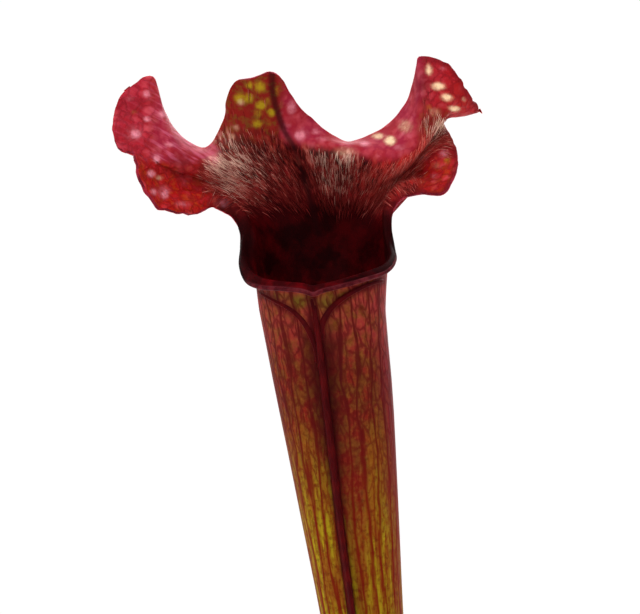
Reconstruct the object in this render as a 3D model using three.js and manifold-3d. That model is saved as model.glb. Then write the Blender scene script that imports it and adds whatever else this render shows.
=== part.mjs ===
// A potted trumpet pitcher plant: one tall open pitcher with a ruffled lid, a young closed pitcher and
// three sword leaves, all standing on a crown that is half sunk in the potting mix of a plain round pot.
// Millimetres, +Z up. The origin is the centre of the pot's foot. The mouth and its wing face -Y.
import * as THREE from "three";
import { mergeVertices } from "three/addons/utils/BufferGeometryUtils.js";
import Module from "manifold-3d";

const wasm = await Module();
wasm.setup();

// Driving dimensions.
const GAP = 0.3;
const POT = {
  height: 100, rimRadius: 62, footRadius: 45, wall: 2, floor: 3, collar: 10, collarWall: 3, segments: 56,
};
const DRAIN = { count: 6, radius: 5, circle: 30, sides: 20 };
const MIX = { level: 88, dome: 3, lump: 0.55, rings: 8, segments: 48 };
const CROWN = {
  centre: [12, 6, 86], halfLength: 27, radius: 8.8, turn: 8, sides: 22, scar: 0.45, scarTurn: 2.1,
};
const CROWN_POCKET = 0.36;
const SOCKET = { floor: 90, rise: 9, play: 0.42 };
const MOUTH = { x: -18, y: 4, z: 373, radius: 15.2 };
const WALL = 0.9;
const WING = { height: 2.8, columns: [0, 1], top: -3, full: -18, fade: -205, end: -262 };

// The pitcher's tube, from its foot in the crown to just under the mouth. Heights are below the mouth,
// x and y are the centre line's shift, the radius is the outer one, and twist turns the wing to the left
// on the way down.
const TUBE = [
  { z: -283, x: 30.0, y: 4.2, radius: 4.6, twist: 16 },
  { z: -276, x: 29.6, y: 4.2, radius: 4.6, twist: 16 },
  { z: -262, x: 28.4, y: 4.4, radius: 4.1, twist: 16 },
  { z: -232, x: 25.8, y: 4.8, radius: 4.3, twist: 15 },
  { z: -192, x: 22.2, y: 4.8, radius: 5.3, twist: 14 },
  { z: -152, x: 18.2, y: 4.0, radius: 6.6, twist: 12 },
  { z: -112, x: 13.8, y: 2.6, radius: 8.2, twist: 10 },
  { z: -76, x: 9.8, y: 1.3, radius: 9.85, twist: 8 },
  { z: -54, x: 7.1, y: 0.7, radius: 11.55, twist: 6 },
  { z: -39, x: 5.25, y: 0.4, radius: 12.7, twist: 4 },
  { z: -24, x: 3.3, y: 0.2, radius: 13.85, twist: 2 },
  { z: -10, x: 1.3, y: 0.0, radius: 14.6, twist: 0 },
  { z: -5, x: 0.6, y: 0.0, radius: 14.9, twist: 0 },
];
const HOLLOW_FROM = 3;

// The throat between the mouth and the lid is a little wider than the tube. Above it the wall rises before
// it spreads, by a share of how far it spreads to the side.
const THROAT = { z: 13, radius: 16, belowCrest: 2.6, flareFrom: -2, backBulge: 2, rise: 0.12 };

// The edge of the pitcher, once round. Each station gives the angle on the tube from the front to the
// left, the crest or shoulder that the wall passes over, and the margin where it ends, as x, y and z
// from the centre of the mouth. The first stations carry the wing.
const EDGE = [
  // Front of the rolled lip, then its left side up to the neck.
  [5, [-1.0, -16.8, 0.7], [-1.0, -18.4, -1.1]],
  [9, [-1.9, -16.8, 0.6], [-1.9, -18.4, -1.2]],
  [13, [-3.8, -16.6, 1.1], [-3.9, -18.2, -0.5]],
  [30, [-7.8, -14.6, 1.5], [-8.4, -16.0, 0.0]],
  [52, [-13.4, -10.5, 2.4], [-14.4, -11.4, 0.5]],
  [72, [-16.6, -5.6, 4.7], [-17.3, -6.4, 2.1]],
  [86, [-18.0, -1.8, 8.0], [-18.8, -2.2, 5.6]],
  [96, [-18.0, 1.6, 11.0], [-18.8, 1.6, 9.4]],
  [103, [-17.4, 4.6, 14.6], [-18.8, 4.4, 13.2]],
  [109, [-18.1, 6.5, 18.1], [-20.4, 5.8, 16.7]],
  [115, [-20.7, 6.4, 20.4], [-23.6, 4.8, 18.9]],
  [118, [-23.9, 5.6, 21.8], [-25.8, 3.4, 19.4]],
  // Lower left lobe, bent forward.
  [121, [-27.2, 4.6, 22.6], [-28.7, 1.6, 18.1]],
  [126, [-33.6, 2.4, 22.8], [-34.3, -2.0, 18.2]],
  [130, [-38.1, 1.0, 24.4], [-39.5, -5.0, 20.4]],
  [134, [-40.0, 0.6, 26.8], [-42.5, -4.6, 25.6]],
  [138, [-40.7, 0.6, 28.9], [-43.5, -2.0, 30.5]],
  // Upper left lobe, bent back, with a small spur.
  [141, [-40.4, 1.0, 30.2], [-43.8, 1.0, 32.4]],
  [143, [-39.8, 1.2, 30.6], [-47.0, 2.0, 32.9]],
  [145, [-38.8, 1.5, 30.3], [-48.6, 4.5, 37.6]],
  [147, [-37.4, 1.8, 30.1], [-48.1, 7.0, 43.0]],
  [149, [-36.2, 2.1, 29.8], [-46.8, 8.5, 46.4]],
  [151, [-34.8, 2.4, 29.7], [-43.7, 10.0, 48.9]],
  [153, [-33.4, 2.8, 29.6], [-40.2, 11.5, 50.4]],
  [155, [-31.7, 3.2, 29.6], [-38.6, 11.5, 46.3]],
  [157, [-30.1, 3.7, 29.8], [-36.3, 11.0, 40.5]],
  [159, [-28.2, 4.3, 30.3], [-32.4, 10.3, 35.7]],
  [161.5, [-25.9, 5.0, 31.2], [-28.0, 9.8, 33.5]],
  [164, [-24.2, 5.8, 32.2], [-25.3, 9.4, 33.8]],
  // Middle lobe, arched forward at its tip and bent back down its right side.
  [167, [-22.3, 6.8, 33.8], [-23.6, 9.2, 37.4]],
  [170, [-20.7, 7.6, 34.5], [-22.3, 8.5, 42.1]],
  [173, [-18.8, 8.0, 35.0], [-22.1, 5.6, 45.6]],
  [176, [-16.7, 8.2, 35.5], [-20.0, 2.4, 49.4]],
  [179, [-14.3, 8.3, 35.7], [-15.7, -0.4, 50.0]],
  [182, [-11.8, 8.3, 36.0], [-11.8, -1.8, 51.1]],
  [185, [-9.6, 8.3, 36.0], [-9.4, -0.8, 50.1]],
  [188, [-7.8, 8.2, 35.7], [-7.4, 2.6, 46.6]],
  [190, [-5.9, 7.8, 35.3], [-4.9, 6.0, 42.8]],
  [192, [-3.8, 7.4, 34.8], [-2.1, 9.0, 40.4]],
  [194.5, [-1.2, 7.0, 34.3], [0.7, 10.3, 38.1]],
  [197, [2.1, 6.8, 33.8], [3.8, 10.8, 36.0]],
  [199.5, [5.9, 6.6, 33.4], [6.6, 10.6, 34.9]],
  // Bent-back band between the right dip and the upper right lobe.
  [202, [8.7, 5.8, 32.7], [9.4, 10.8, 35.6]],
  [204.5, [11.5, 4.6, 31.5], [12.0, 11.2, 36.6]],
  [206.5, [14.3, 3.4, 31.0], [14.7, 11.5, 38.1]],
  [208.5, [17.2, 2.6, 31.3], [17.2, 11.5, 40.0]],
  [210, [19.5, 2.2, 32.0], [19.2, 11.0, 42.6]],
  [211.5, [20.9, 2.2, 32.7], [20.9, 10.2, 45.6]],
  // Upper right lobe with its pointed spur.
  [213, [22.1, 2.4, 33.4], [22.0, 9.0, 49.4]],
  [214.5, [23.0, 2.7, 34.1], [22.8, 7.6, 53.1]],
  [216, [24.0, 3.0, 34.8], [23.6, 6.4, 55.1]],
  [217.5, [24.8, 3.4, 35.4], [26.8, 4.8, 54.8]],
  [219, [25.5, 3.9, 36.0], [30.7, 2.6, 52.8]],
  [221, [26.2, 4.5, 36.5], [33.5, 3.0, 48.9]],
  [223, [27.2, 5.4, 38.0], [35.6, 6.0, 45.6]],
  [225, [28.0, 6.4, 38.9], [37.6, 10.0, 42.2]],
  [227, [28.3, 7.2, 38.9], [31.6, 11.3, 41.5]],
  [229, [28.2, 7.6, 38.0], [28.9, 11.0, 39.7]],
  // Lower right lobe, bent forward.
  [231, [28.2, 7.0, 35.7], [30.3, 9.5, 36.9]],
  [233.5, [28.2, 5.3, 32.4], [32.4, 4.0, 32.2]],
  [236, [27.5, 4.0, 28.9], [31.9, -1.0, 26.8]],
  [238.5, [25.4, 3.8, 26.6], [29.0, -3.0, 22.3]],
  [241, [21.4, 4.8, 25.6], [23.7, 0.0, 22.6]],
  [244, [17.6, 6.0, 23.6], [19.7, 3.4, 21.2]],
  // Right side of the neck and of the rolled lip, back to the front.
  [248.5, [15.5, 6.4, 19.5], [17.3, 5.5, 18.6]],
  [255, [15.3, 4.5, 15.0], [16.8, 4.4, 14.6]],
  [265, [16.0, 1.5, 11.0], [17.3, 1.2, 9.9]],
  [279, [16.6, -2.5, 8.2], [17.6, -3.0, 6.9]],
  [296, [15.1, -7.5, 5.7], [15.6, -8.6, 4.2]],
  [322, [9.6, -13.2, 3.5], [9.9, -14.6, 2.1]],
  [345, [3.3, -16.2, 1.6], [3.1, -17.6, 0.2]],
  [361, [0.3, -16.8, 1.0], [0.3, -18.4, -0.5]],
];

// Where the rings of the hood lie along each wall line: 1 is the tube's last ring, 2 the throat,
// 3 half way up the hood, 4 the shoulder and 5 the margin.
const HOOD_RINGS = [1.5, 2, 2.5, 3, 3.35, 3.7, 4, 4.25, 4.5, 4.75, 5];

const YOUNG = { foot: [26.3, 4.8], height: 172, lean: [10, -10], radius: 5.2, lid: 9, wing: 1.6, sides: 16 };
const SWORDS = [
  { name: "sword_leaf_1", foot: [33.5, 8], heading: 12, height: 150, reach: 46, width: 15 },
  { name: "sword_leaf_2", foot: [19.2, 8.8], heading: 80, height: 176, reach: 38, width: 17 },
  { name: "sword_leaf_3", foot: [-3, 4], heading: 205, height: 128, reach: 52, width: 14 },
];
// The sword leaves' thickness at the edge and along the middle, how much of the middle's is lost at the
// tip, where the flat middle ends as a share of the half width, and how the spine rises and then droops.
const BLADE = { edge: 0.75, middle: 2.2, thinning: 0.45, flat: 0.4, rise: 0.96, droop: 2.2 };

const COLOURS = {
  pitcher: 0x8e2a22,
  young_pitcher: 0x7f8a34,
  sword_leaf: 0x5f7f2c,
  crown: 0x5b4a2b,
  potting_mix: 0x3a2a1c,
  pot: 0x24262a,
};

const radians = THREE.MathUtils.degToRad;
const vector = (xyz) => new THREE.Vector3(...xyz);

// A smooth step from 0 at `from` to 1 at `to`.
const ramp = (value, from, to) => {
  const share = THREE.MathUtils.clamp((value - from) / (to - from), 0, 1);
  return share * share * (3 - 2 * share);
};

// A point of the circle at an angle that runs from the front (-Y) to the left (-X).
const around = (angle, radius, x, y, z) =>
  new THREE.Vector3(x - radius * Math.sin(radians(angle)), y - radius * Math.cos(radians(angle)), z);

const centreOf = (ring) =>
  ring.reduce((sum, point) => sum.add(point), new THREE.Vector3()).divideScalar(ring.length);

// Closed solid through a row of closed rings with equal numbers of points, capped at both ends. From
// the ring at `turned` on, the quads are split along their other diagonal, so that the two faces of a
// thin wall have the same triangles.
function loft(rings, turned = rings.length) {
  const count = rings[0].length;
  const points = [...rings.flat(), centreOf(rings[0]), centreOf(rings.at(-1))];
  const [firstCentre, lastCentre] = [points.length - 2, points.length - 1];
  const index = [];
  for (let ring = 0; ring + 1 < rings.length; ring += 1) {
    for (let step = 0; step < count; step += 1) {
      const a = ring * count + step;
      const b = ring * count + ((step + 1) % count);
      const [c, d] = [b + count, a + count];
      if (ring < turned) index.push(a, d, c, a, c, b);
      else index.push(a, d, b, b, d, c);
    }
  }
  const last = (rings.length - 1) * count;
  for (let step = 0; step < count; step += 1) {
    const next = (step + 1) % count;
    index.push(firstCentre, step, next, lastCentre, last + next, last + step);
  }
  const geometry = new THREE.BufferGeometry().setFromPoints(points);
  geometry.setIndex(index);
  return geometry;
}

// The same surface with its shared corners merged and its empty triangles dropped.
function merged(geometry) {
  const plain = geometry.clone();
  plain.deleteAttribute("normal");
  plain.deleteAttribute("uv");
  const joined = mergeVertices(plain, 1e-4);
  const kept = [];
  for (let i = 0; i < joined.index.count; i += 3) {
    const [a, b, c] = [0, 1, 2].map((corner) => joined.index.getX(i + corner));
    if (a !== b && b !== c && c !== a) kept.push(a, b, c);
  }
  joined.setIndex(kept);
  return joined;
}

function solid(geometry) {
  const { index, attributes } = merged(geometry);
  const vertProperties = new Float32Array(attributes.position.array);
  const triVerts = new Uint32Array(index.array);
  return new wasm.Manifold(new wasm.Mesh({ numProp: 3, vertProperties, triVerts }));
}

function surface(manifold) {
  const { vertProperties, triVerts, numProp } = manifold.getMesh();
  const geometry = new THREE.BufferGeometry();
  const interleaved = new THREE.InterleavedBuffer(vertProperties, numProp);
  geometry.setAttribute("position", new THREE.InterleavedBufferAttribute(interleaved, 3, 0));
  geometry.setIndex(new THREE.BufferAttribute(triVerts, 1));
  return geometry.toNonIndexed();
}

const cut = (geometry, cutters) =>
  surface(cutters.reduce((rest, cutter) => rest.subtract(solid(cutter)), solid(geometry)));

// A lathe profile of [radius, z] pairs, turned round the Z axis.
function turnedUp(profile, segments) {
  const lathe = new THREE.LatheGeometry(profile.map(([r, z]) => new THREE.Vector2(r, z)), segments);
  return lathe.rotateX(Math.PI / 2);
}

// The stem's rings up to the first one above the crown, grown by the gap all round, for the socket that
// the stem stands in.
function socketFor(rings) {
  const above = rings.findIndex((ring) => centreOf(ring).z > SOCKET.floor + SOCKET.rise);
  const grown = rings.slice(0, above + 1).map((ring) => {
    const centre = centreOf(ring);
    return ring.map((point) => {
      const out = point.clone().sub(centre);
      return point.clone().add(out.setLength(SOCKET.play));
    });
  });
  const floor = grown[0].map((point) => point.clone().setZ(SOCKET.floor - GAP));
  return loft([floor, ...grown.slice(1)]);
}

// Pitcher: one sheet from the tube through the throat to the lid, thickened to both sides.
function tubeRings() {
  return TUBE.map(({ z, x, y, radius, twist }) =>
    EDGE.map(([angle]) => around(angle + twist, radius - WALL / 2, x, y, z)),
  );
}

function throatPoint(angle, crestZ) {
  const z = Math.min(THROAT.z, crestZ - THROAT.belowCrest);
  const flare = ramp(z, THROAT.flareFrom, THROAT.z);
  return around(angle, THREE.MathUtils.lerp(MOUTH.radius, THROAT.radius, flare), 0, 0, z);
}

// The wall line of one station, from the tube over the throat and the shoulder to the margin.
function wallLine([angle, crest, margin], below, last) {
  const throat = throatPoint(angle, crest[2]);
  const shoulder = vector(crest);
  const half = throat.clone().lerp(shoulder, 0.5);
  half.y += THROAT.backBulge * ramp(shoulder.z, THROAT.z, 2 * THROAT.z);
  half.z += THROAT.rise * Math.abs(shoulder.x - throat.x);
  const points = [below, last, throat, half, shoulder, vector(margin)];
  return new THREE.CatmullRomCurve3(points, false, "centripetal");
}

function sheetRings() {
  const tube = tubeRings();
  const lines = EDGE.map((station, column) => wallLine(station, tube.at(-2)[column], tube.at(-1)[column]));
  const hood = HOOD_RINGS.map((place) => lines.map((line) => line.getPoint(place / 5)));
  return [...tube, ...hood];
}

// The sheet's outward direction at one grid point.
function outward(rings, ring, column) {
  const count = rings[ring].length;
  const up = rings[Math.min(ring + 1, rings.length - 1)][column]
    .clone()
    .sub(rings[Math.max(ring - 1, 0)][column]);
  const along = rings[ring][(column + 1) % count].clone().sub(rings[ring][(column + count - 1) % count]);
  return up.cross(along).normalize();
}

const wingHeight = (z, column) => {
  if (!WING.columns.includes(column)) return 0;
  return WING.height * ramp(z, WING.top, WING.full) * (1 - ramp(z, WING.fade, WING.end));
};

function pitcherRings() {
  const sheet = sheetRings();
  const moved = (side) =>
    sheet.map((points, ring) =>
      points.map((point, column) => point.clone().addScaledVector(outward(sheet, ring, column), side)),
    );
  const outer = moved(WALL / 2);
  outer.forEach((points, ring) => {
    if (ring >= TUBE.length) return;
    points.forEach((point, column) => {
      point.y -= wingHeight(TUBE[ring].z, column);
    });
  });
  const inner = moved(-WALL / 2).slice(HOLLOW_FROM).reverse();
  return { outer, inner };
}

const placeAtMouth = (geometry) => geometry.translate(MOUTH.x, MOUTH.y, MOUTH.z);

function pitcher({ outer, inner }) {
  return placeAtMouth(loft([...outer, ...inner], outer.length));
}

const pitcherFoot = ({ outer }) =>
  outer.map((ring) => ring.map((point) => point.clone().add(new THREE.Vector3(MOUTH.x, MOUTH.y, MOUTH.z))));

// Young pitcher: closed, slim, with a low wing and a small folded lid that leans over its own top.
const YOUNG_SHAPE = [
  [0, 0.62], [0.04, 0.6], [0.12, 0.52], [0.3, 0.58], [0.5, 0.76], [0.66, 0.92], [0.78, 1.0],
  [0.85, 1.0], [0.89, 0.84], [0.92, 0.8], [0.955, 0.86], [0.98, 0.6], [1, 0.16],
];

function youngRings() {
  const { foot, height, lean, radius, sides } = YOUNG;
  return YOUNG_SHAPE.map(([share, width]) => {
    const bend = share * share;
    const lidLean = YOUNG.lid * ramp(share, 0.86, 1);
    const centre = [foot[0] + lean[0] * bend, foot[1] + lean[1] * bend - lidLean];
    const wing = YOUNG.wing * ramp(share, 0.12, 0.3) * (1 - ramp(share, 0.8, 0.88));
    return Array.from({ length: sides }, (_, side) => {
      const point = around((360 * side) / sides, radius * width, ...centre, SOCKET.floor + height * share);
      if (side === 0) point.y -= wing;
      return point;
    });
  });
}

// Sword leaf: a flat blade, thick along its middle, whose flat sides face across its heading.
const SWORD_SHAPE = [
  [0, 0.3], [0.05, 0.3], [0.13, 0.42], [0.25, 0.7], [0.4, 0.93], [0.55, 1.0], [0.7, 0.9],
  [0.82, 0.68], [0.91, 0.42], [0.97, 0.18], [1, 0.05],
];

function swordRings({ foot, heading, height, reach, width }) {
  const out = new THREE.Vector3(Math.cos(radians(heading)), Math.sin(radians(heading)), 0);
  const across = new THREE.Vector3(-out.y, out.x, 0);
  const spine = (share) =>
    new THREE.Vector3(foot[0], foot[1], SOCKET.floor + height * Math.sin((Math.PI / 2) * share ** BLADE.rise))
      .addScaledVector(out, reach * share ** BLADE.droop);
  return SWORD_SHAPE.map(([share, part]) => {
    const centre = spine(share);
    const tangent = spine(Math.min(share + 0.01, 1)).sub(spine(Math.max(share - 0.01, 0))).normalize();
    const wide = across.clone().cross(tangent).normalize();
    if (wide.dot(out) < 0) wide.negate();
    const half = (width * part) / 2;
    const flat = half * BLADE.flat;
    const middle = (BLADE.middle * (1 - BLADE.thinning * share)) / 2;
    const edge = Math.min(BLADE.edge / 2, middle);
    const section = [
      [half, edge], [flat, middle], [-flat, middle], [-half, edge],
      [-half, -edge], [-flat, -middle], [flat, -middle], [half, -edge],
    ];
    return section.map(([w, t]) => centre.clone().addScaledVector(wide, w).addScaledVector(across, -t));
  });
}

// Crown: a short thick rootstock lying on its side, ringed by the scars of old leaves.
function crownBody(grow = 0) {
  const { centre, halfLength, radius, turn, sides, scar, scarTurn } = CROWN;
  const bluntness = 0.6;
  const profile = Array.from({ length: sides + 1 }, (_, step) => {
    const place = (Math.PI * step) / sides;
    const wide = radius + scar * Math.sin(step * scarTurn) + grow;
    const across = step % sides === 0 ? 0 : wide * Math.sin(place) ** bluntness;
    return [across, -(halfLength + grow) * Math.cos(place)];
  });
  const body = turnedUp(profile, sides).rotateY(Math.PI / 2).rotateZ(radians(turn));
  return body.translate(...centre);
}

// The outer radius of the pot's tapered body.
const bodyAt = (z) => POT.footRadius + ((POT.rimRadius - POT.collarWall - POT.footRadius) * z) / POT.height;

// Pot: plain, tapered, with a collar under its rounded rim, and drainage holes in its floor.
function pot() {
  const { height, rimRadius, footRadius, wall, floor, collarWall, segments } = POT;
  const collar = height - POT.collar;
  const insideCollar = rimRadius - collarWall;
  const profile = [
    [0, 0], [footRadius - 1.2, 0], [footRadius, 1.2], [bodyAt(collar), collar],
    [rimRadius - 0.8, collar + 0.6], [rimRadius, collar + 2],
    [rimRadius + 0.4, height - 1.4], [rimRadius - 0.3, height - 0.2], [rimRadius - 1.4, height],
    [insideCollar + 0.6, height - 0.4], [insideCollar, height - 1.6], [insideCollar - 0.4, collar + 1],
    [bodyAt(collar) - wall, collar - 1],
    [bodyAt(floor) - wall - 1, floor + 1.5], [bodyAt(floor) - wall - 3, floor], [0, floor],
  ];
  const holes = Array.from({ length: DRAIN.count }, (_, hole) => {
    const turn = (2 * Math.PI * (hole + 0.5)) / DRAIN.count;
    const bit = new THREE.CylinderGeometry(DRAIN.radius, DRAIN.radius, 4 * floor, DRAIN.sides);
    bit.rotateX(Math.PI / 2);
    return bit.translate(DRAIN.circle * Math.cos(turn), DRAIN.circle * Math.sin(turn), 0);
  });
  return cut(turnedUp(profile, segments), holes);
}

// The potting mix's surface above its level: slightly domed, with broad and narrow lumps, and flat at the
// pot's wall.
function mixTop(x, y) {
  const reach = Math.hypot(x, y) / bodyAt(MIX.level);
  const broad = Math.sin(x * 0.31 + 1.3) * Math.cos(y * 0.27);
  const narrow = 0.6 * Math.sin(x * 0.62 - y * 0.55);
  return MIX.dome * (1 - reach * reach) + MIX.lump * (broad + narrow) * (1 - reach ** 6);
}

// Potting mix: fills the pot to its level, with a pocket for the crown.
function pottingMix() {
  const { wall, floor } = POT;
  const sideAt = (z) => bodyAt(z) - wall - 2 * GAP;
  const edge = sideAt(MIX.level);
  const low = floor + GAP;
  const side = [[0, low], [sideAt(floor) - 4, low], [sideAt(floor + 2.5) - 1, low + 2]];
  const top = Array.from({ length: MIX.rings + 1 }, (_, ring) => [edge * (1 - ring / MIX.rings), MIX.level]);
  const body = turnedUp([...side, ...top], MIX.segments);
  const place = body.attributes.position;
  for (let i = 0; i < place.count; i += 1) {
    if (place.getZ(i) < MIX.level - 0.01) continue;
    place.setZ(i, MIX.level + mixTop(place.getX(i), place.getY(i)));
  }
  return cut(body, [crownBody(CROWN_POCKET)]);
}

const group = new THREE.Group();

function addPiece(name, geometry, colour, roughness) {
  const material = new THREE.MeshStandardMaterial({ color: colour, roughness, metalness: 0 });
  const mesh = new THREE.Mesh(geometry, material);
  mesh.name = name;
  group.add(mesh);
}

const mainRings = pitcherRings();
const young = youngRings();
const swords = SWORDS.map((sword) => ({ name: sword.name, rings: swordRings(sword) }));
const sockets = [pitcherFoot(mainRings), young, ...swords.map(({ rings }) => rings)].map(socketFor);

addPiece("pot", pot(), COLOURS.pot, 0.5);
addPiece("potting_mix", pottingMix(), COLOURS.potting_mix, 0.95);
addPiece("crown", cut(crownBody(), sockets), COLOURS.crown, 0.8);
addPiece("pitcher", pitcher(mainRings), COLOURS.pitcher, 0.4);
addPiece("young_pitcher", loft(young), COLOURS.young_pitcher, 0.45);
for (const { name, rings } of swords) addPiece(name, loft(rings), COLOURS.sword_leaf, 0.45);

export default group;
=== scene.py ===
"""Looks of a potted trumpet pitcher plant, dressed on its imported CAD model.

The open pitcher is one thin sheet of leaf: a tube with a wing down its front, a rolled lip, and a lid with
five ruffled lobes. Sizes are in millimetres and are turned to metres when a mesh is made. Places in the
open pitcher's tables count from the centre of its mouth.
"""

import logging
import math
from dataclasses import dataclass, field
from enum import Enum

import bmesh
import bpy
import numpy as np
from bmesh.types import BMesh
from bpy.types import Material, Mesh, Node, NodeSocket, NodeTree, Object
from mathutils import Matrix, Vector

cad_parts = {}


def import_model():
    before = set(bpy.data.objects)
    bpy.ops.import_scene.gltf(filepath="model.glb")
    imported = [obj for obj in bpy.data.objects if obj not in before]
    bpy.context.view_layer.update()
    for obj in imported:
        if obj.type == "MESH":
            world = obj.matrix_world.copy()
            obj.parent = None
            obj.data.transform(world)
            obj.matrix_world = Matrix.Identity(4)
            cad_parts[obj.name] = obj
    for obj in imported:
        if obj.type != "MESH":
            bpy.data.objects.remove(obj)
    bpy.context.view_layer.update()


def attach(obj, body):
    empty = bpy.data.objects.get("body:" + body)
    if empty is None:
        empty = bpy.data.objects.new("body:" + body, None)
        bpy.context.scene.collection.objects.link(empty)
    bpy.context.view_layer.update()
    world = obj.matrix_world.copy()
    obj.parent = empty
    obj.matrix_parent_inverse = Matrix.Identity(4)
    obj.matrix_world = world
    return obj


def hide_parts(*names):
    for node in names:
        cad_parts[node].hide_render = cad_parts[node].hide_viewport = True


LOG = logging.getLogger("pitcher_plant")
MM = 0.001

# Sizes that the pieces share with the CAD model.
MOUTH = np.array([-18.0, 4.0, 373.0])
MOUTH_RADIUS = 15.2
LEAF_THICKNESS = 0.9
MIX_LEVEL = 88.0
SOCKET_FLOOR = 90.0

# The distance in mm that a mark gives where nothing is near.
FAR = 99.0

# The pitcher's tube: height, x and y of its centre line, outer radius, and twist of its front in degrees.
TUBE = (
    (-283, 30.0, 4.2, 4.6, 16),
    (-276, 29.6, 4.2, 4.6, 16),
    (-262, 28.4, 4.4, 4.1, 16),
    (-232, 25.8, 4.8, 4.3, 15),
    (-192, 22.2, 4.8, 5.3, 14),
    (-152, 18.2, 4.0, 6.6, 12),
    (-112, 13.8, 2.6, 8.2, 10),
    (-76, 9.8, 1.3, 9.85, 8),
    (-54, 7.1, 0.7, 11.55, 6),
    (-39, 5.25, 0.4, 12.7, 4),
    (-24, 3.3, 0.2, 13.85, 2),
    (-10, 1.3, 0.0, 14.6, 0),
    (-5, 0.6, 0.0, 14.9, 0),
)

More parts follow.
